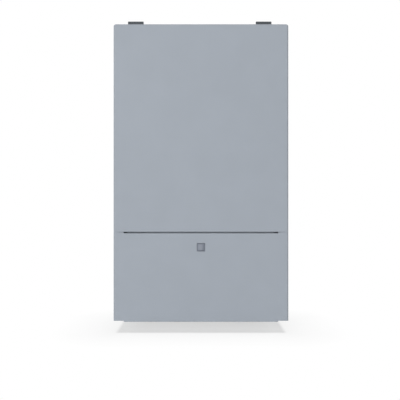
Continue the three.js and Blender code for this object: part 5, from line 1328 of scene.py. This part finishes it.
def gas_mixer():
    """The air and gas mixer behind the fan, with the arm of its gas line."""
    bell = ((22, -196.95), (34, -196.95), (34, -193.4), (29, -192.6), (28, -191), (28, -172), (27.2, -171),
            (27.2, -160), (28, -159), (28, -150.2), (22, -150.2))
    arm = ((0, 3), (7.4, 3), (8, 6), (8, 104.7), (0, 104.7))
    body = solid("mixing_bell", turned("Y", FAN, bell))
    fused(body, [turned("X", MIXER_ARM, arm, 40)])
    pierced(body, [rod("Y", FAN, 22, -200, -140, 64)])
    finish(body, "cast_aluminium", "gas_mixer", edge=0.4)
    hardware("mixer_nut", "brass", [nut("X", MIXER_ARM, 11.4, 92, 103)], edge=0.3)


def silencer():
    """The ribbed plastic silencer that the mixer draws through."""
    case = solid("silencer_case", bar("Y", SILENCER, 55, 38.5, 4, -149.9, -66))
    tools = [slab((-97.5, 7.5), (-147.5, -68.5), (-404.5, -332.5)), rod("Y", FAN, 22, -155, -140),
             slab((-92, -52), (-129, -87), (-420, -400))]
    for y in range(-136, -75, 12):
        groove = solid("groove", bar("Y", SILENCER, 60, 44, 4, y - 1.5, y + 1.5))
        tools.append(pierced(groove, [bar("Y", SILENCER, 53.8, 37.3, 3.4, y - 3, y + 3)]))
    pierced(case, tools)
    finish(case, "black_plastic", "air_silencer", edge=0.4, angle=40)


fan_scroll()
fan_motor()
mixture_elbow()
gas_valve()
gas_mixer()
silencer()


# Water side

STUB_Y = -80
STUB_XS = (-130, -65, 65, 130)
STUB_LOW, STUB_TOP = -688, -636
DIVERTER = (-98, -600)
PUMP = (112, -585)
RELIEF = (60, -620)
FILLING = (97.5, -95)
TRAP = (15, -145)
FLOW = ((-60, -50, -315.5), (-60, -50, -425), (-130, -85, -504), (-130, -85, -544.7))
RETURN = ((60, -50, -315.5), (60, -50, -371.2), (143, -50, -402), (143, -89, -482), (143, -89, -537.7))
GAS = ((0, -80, -660), (0, -80, -475.5), (60, -80, -467.8), (145, -145, -441), (145, -178, -441),
       (145, -178, -415.3))
DRAIN = ((45, -110, -322.2), (45, -110, -416), (15, -145, -436), (15, -145, -487.7))


def threaded_stub(x, radius=10.5, bore=7.5, crest=1):
    """A stub with a turned thread at its foot, open below, up to its shoulder."""
    profile = [(0, STUB_TOP), (radius - 0.3, STUB_TOP), (radius - 0.3, STUB_LOW + 19)]
    for turn in range(12):
        low = STUB_LOW + 18.2 - 1.45 * turn
        profile += [(radius, low), (radius, low - 0.35), (radius - crest, low - 0.9),
                    (radius - crest, low - 1.1)]
    profile += [(radius - 0.9, STUB_LOW), (bore, STUB_LOW), (bore, STUB_LOW + 24), (0, STUB_LOW + 24)]
    return turned("Z", (x, STUB_Y), profile, 48)


def water_block(x):
    """A forged block with rounded edges."""
    return bar("Y", (x, -600), 52.5, 40, 6, -112, -62)


def diverter():
    """The return block with the valve inlet, the valve nose and two connections, and the drive."""
    inlet = ((0, -566), (12, -566), (12, -550), (13, -549), (13, -546), (12, -545), (0, -545))
    nose = ((0, -124.9), (14, -124.9), (15, -124), (15, -114), (17, -113), (17, -108), (0, -108))
    part("diverter_casting", "brass", [
        water_block(-97.5), turned("Z", (-130, -85), inlet, 48), turned("Y", DIVERTER, nose, 48),
        threaded_stub(-130), threaded_stub(-65)], "diverter_block", edge=0.5)
    part("diverter_drive", "black_plastic", [
        bar("Y", DIVERTER, 22, 25, 5, -140, -125.2), bar("Y", DIVERTER, 21, 24, 4.4, -168.6, -139),
        bar("Y", DIVERTER, 17, 20, 4, -170, -168), slab((-111, -85), (-162, -146), (-625, -620))],
        "diverter_motor", edge=0.8)


def pump():
    """The pump block with its relief boss, filling boss and two connections, and the volute."""
    inlet = ((0, -585), (12, -585), (12, -544), (13, -543), (13, -539), (12, -538), (0, -538))
    relief = ((4.6, -130), (10, -130), (11, -129), (11, -117), (12.4, -116), (12.4, -113), (11, -112.4),
              (11, -100), (0, -100), (0, -122), (4.6, -122))
    filling = ((3.6, -660), (6, -660), (7, -659), (7, -636), (0, -636), (0, -654), (3.6, -654))
    block = solid("pump_casting", water_block(97.5), turned("Z", (143, -89), inlet, 48),
                  turned("Y", RELIEF, relief, 48), turned("Z", FILLING, filling, 40),
                  threaded_stub(65), threaded_stub(130))
    pierced(block, [rod("Y", PUMP, 36, -113, -76, 72)])
    finish(block, "brass", "pump_body", edge=0.5)
    volute = ((36, -112), (42, -112), (44, -110.5), (44, -64), (42, -62), (36, -62))
    part("pump_volute", "brass", [turned("Y", PUMP, volute, 72)], edge=0.4)


def pump_motor():
    """The motor can with its terminal box and screws."""
    can = [(0, -171), (4, -171), (4.6, -170.4), (9, -170.4), (9.6, -172), (30, -172), (34.5, -171.2),
           (37, -169), (38, -166)]
    can += grooved(38, 37.2, (-150, -140), 1, 2)
    can += [(38, -121), (39, -118), (43, -117), (44, -116), (44, -112.02), (0, -112.02)]
    part("pump_motor_can", "black_plastic", [turned("Y", PUMP, can, 96)], "pump_motor")
    terminal = slab((92, 132), (-168, -142), (-550.5, -543.4))
    part("pump_terminal", "grey_plastic", [terminal], edge=1.2, segments=3)
    screws("pump_screws", "Y", circle(PUMP, 40.8, 4, 45), -117, -1, radius=3.2, high=3)


def lobed_knob(name, look, axis, centre, levels, lobes, stem, node, body):
    """A hand knob: lobed sides between rounded ends, with its stem."""
    loops = [at_height(axis, lobed(centre, radius, lobes), height) for radius, height in levels]
    part(name, look, [lofted(loops), rod(axis, centre, *stem, 24)], node, edge=0.25, angle=45, body=body)


def pipes():
    """Copper lines, the corrugated condensate hose and the stub of the gas line."""
    tube("heating_flow_line", "copper", bent(FLOW, 28), 9, "heating_flow_pipe")
    tube("heating_return_line", "copper", bent(RETURN, 28), 9, "heating_return_pipe")
    tube("condensate_tube", "grey_plastic", bent(DRAIN, 26), 9, "condensate_hose", ribs=(4, 1.2))
    tube("gas_line", "copper", bent(GAS, 18), 8, "gas_pipe")
    part("gas_stub", "brass", [threaded_stub(0, 8, 6, 0.8), nut("Z", (0, STUB_Y), 13, -652.8, -644.8)])


def pipe_fittings():
    """The union nuts of the copper lines, and the clips at both ends of the hose."""
    nuts = [((x, STUB_Y), 16, -652.7, -640.2) for x in STUB_XS]
    nuts += [((-60, -50), 13.4, -328, -316), ((60, -50), 13.4, -328, -316), ((-130, -85), 14.6, -549, -536),
             ((143, -89), 14.6, -542, -529), (GAS_PORT, 12.6, -428, -416)]
    hardware("union_nuts", "brass", [nut("Z", *sizes) for sizes in nuts], edge=0.3)
    clips = []
    for (x, y), z in (((45, -110), -331), (TRAP, -482)):
        ring = [(radius, z + rise) for radius, rise in ((8.8, -3), (10.3, -3), (10.3, 3), (8.8, 3))]
        clips += [turned("Z", (x, y), ring, 48), slab((x - 3, x + 3), (y - 14.4, y - 9), (z - 2.4, z + 2.4))]
    hardware("hose_clips", "stainless", clips, edge=0.2)


def plate_stack():
    """The brazed stack of pressed plates with its end plates."""
    centre, count, low, high = (0, -562.5), 14, -61, -23
    pitch = (high - low) / count
    shapes = []
    for i in range(count):
        y, inset = low + i * pitch, 1.5 * (i % 2)
        shapes.append(bar("Y", centre, 95 - inset, 37.5 - inset, 8 - inset, y, y + pitch + 0.01))
    shapes += [bar("Y", centre, 94, 36.5, 7.4, *span) for span in ((-62, -60.6), (-23.4, -22))]
    part("plate_stack", "stainless", shapes, "plate_exchanger", edge=0.25)


def trap_cup():
    """The condensate trap: a ribbed cup with its flange, body, neck and a cleaning cap."""
    profile = [(0, -678), (6, -678), (7, -680), (15, -680), (17.6, -679.2), (19, -677)]
    profile += grooved(19, 18.2, (-672,), 1, 3)
    profile += [(19, -652.8), (27, -652.8), (28, -652), (28, -650.6), (27, -649.8), (23, -649.8),
                (22, -648.8)]
    profile += grooved(22, 22.8, (-560,), 1, 5)
    profile += [(22, -506), (20, -501.4), (17, -500), (12, -500), (12, -490), (11.4, -488), (0, -488)]
    part("trap_cup", "pale_plastic", [turned("Z", TRAP, profile, 96)], "condensate_trap")


def tray_parts():
    """Rubber grommets where the connections pass through the bottom tray, and the tray's screws."""
    rings = []
    holes = [((x, STUB_Y), 10.6) for x in STUB_XS] + [((0, STUB_Y), 8.1), (TRAP, 19.2)]
    for place, inner in holes:
        profile = ((inner, -655.6), (inner + 3, -655.4), (inner + 3.4, -654.6), (inner + 3.2, -654.02),
                   (inner, -654.02))
        rings.append(turned("Z", place, profile, 48))
    hardware("tray_grommets", "rubber", rings, edge=0.2)
    places = list(product((-190, 190), (-210, -20))) + [(-98, -100), (-98, -72), (80, -72), (115, -72)]
    screws("tray_screws", "Z", places, -654, -1, radius=3.6, high=2)


diverter()
pump()
pump_motor()
lobed_knob("relief_grip", "red_plastic", "Y", RELIEF,
           ((13, -147.3), (14, -146.4), (14, -133), (13.2, -131.6), (12, -130.3)), 8, (4, -132, -122.2),
           "relief_valve_knob", "relief")
lobed_knob("filling_grip", "blue_plastic", "Z", FILLING,
           ((11, -683.3), (12, -682.4), (12, -664), (11, -661.6), (9, -660.3)), 6, (3, -662, -654.4),
           "filling_tap_knob", "filling")
pipes()
pipe_fittings()
plate_stack()
trap_cup()
tray_parts()


# Latch spring

WIRE = 0.8
OPEN_TURNS = 4
END_TURNS = 1
TURN_STEPS = 24


def spring_height(turn, length):
    """How far along a spring its wire has come after some turns: the end turns lie closed."""
    closed, turns = WIRE * END_TURNS, OPEN_TURNS + 2 * END_TURNS
    if turn < END_TURNS:
        return WIRE * turn
    if turn > turns - END_TURNS:
        return length - WIRE * (turns - turn)
    return closed + (length - 2 * closed) * (turn - END_TURNS) / OPEN_TURNS


def button_spring():
    """The coil behind the push button, which shortens as the button is pressed."""
    low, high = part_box("latch_spring")
    diameter, whole = (high[0] - low[0]) / MM, (high[1] - low[1]) / MM
    route = []
    for i in range(TURN_STEPS * (OPEN_TURNS + 2 * END_TURNS) + 1):
        turn = i / TURN_STEPS
        x, z = polar(LATCH, (diameter - WIRE) / 2, 360 * turn)
        route.append(Vector((x, low[1] / MM + WIRE / 2 + spring_height(turn, whole - WIRE), z)))
    spring = tube("button_spring", "stainless", route, WIRE / 2, "latch_spring", body="flap")
    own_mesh(spring)


button_spring()


# The CAD nodes that stay

NODE_LOOKS = {
    "zinc_steel": ("cross_rail", "hinge_rod", "bottom_tray", "fan_wheel"),
    "stainless": ("exchanger_coil", "burner_tube", "catch_spring"),
    "black_plastic": ("latch_housing",),
    "grey_plastic": ("control_box", "control_box_lid"),
    "pale_plastic": ("pump_wheel",),
    "white_plastic": ("left_upper_panel_clip", "left_lower_panel_clip", "right_upper_panel_clip",
                      "right_lower_panel_clip"),
    "rubber": ("front_seal",),
    "circuit_green": ("circuit_board",),
}
for node_look, node_names in NODE_LOOKS.items():
    for node_name in node_names:
        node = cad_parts[node_name]
        node.data.materials.clear()
        node.data.materials.append(LOOKS[node_look])
        add_bevel(node, width=0.25, segments=2, angle=35)


def corners(low, high):
    return [list(low), list(high)]


{"cad": corners(cad_low, cad_high), "visual": corners(*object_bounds())}
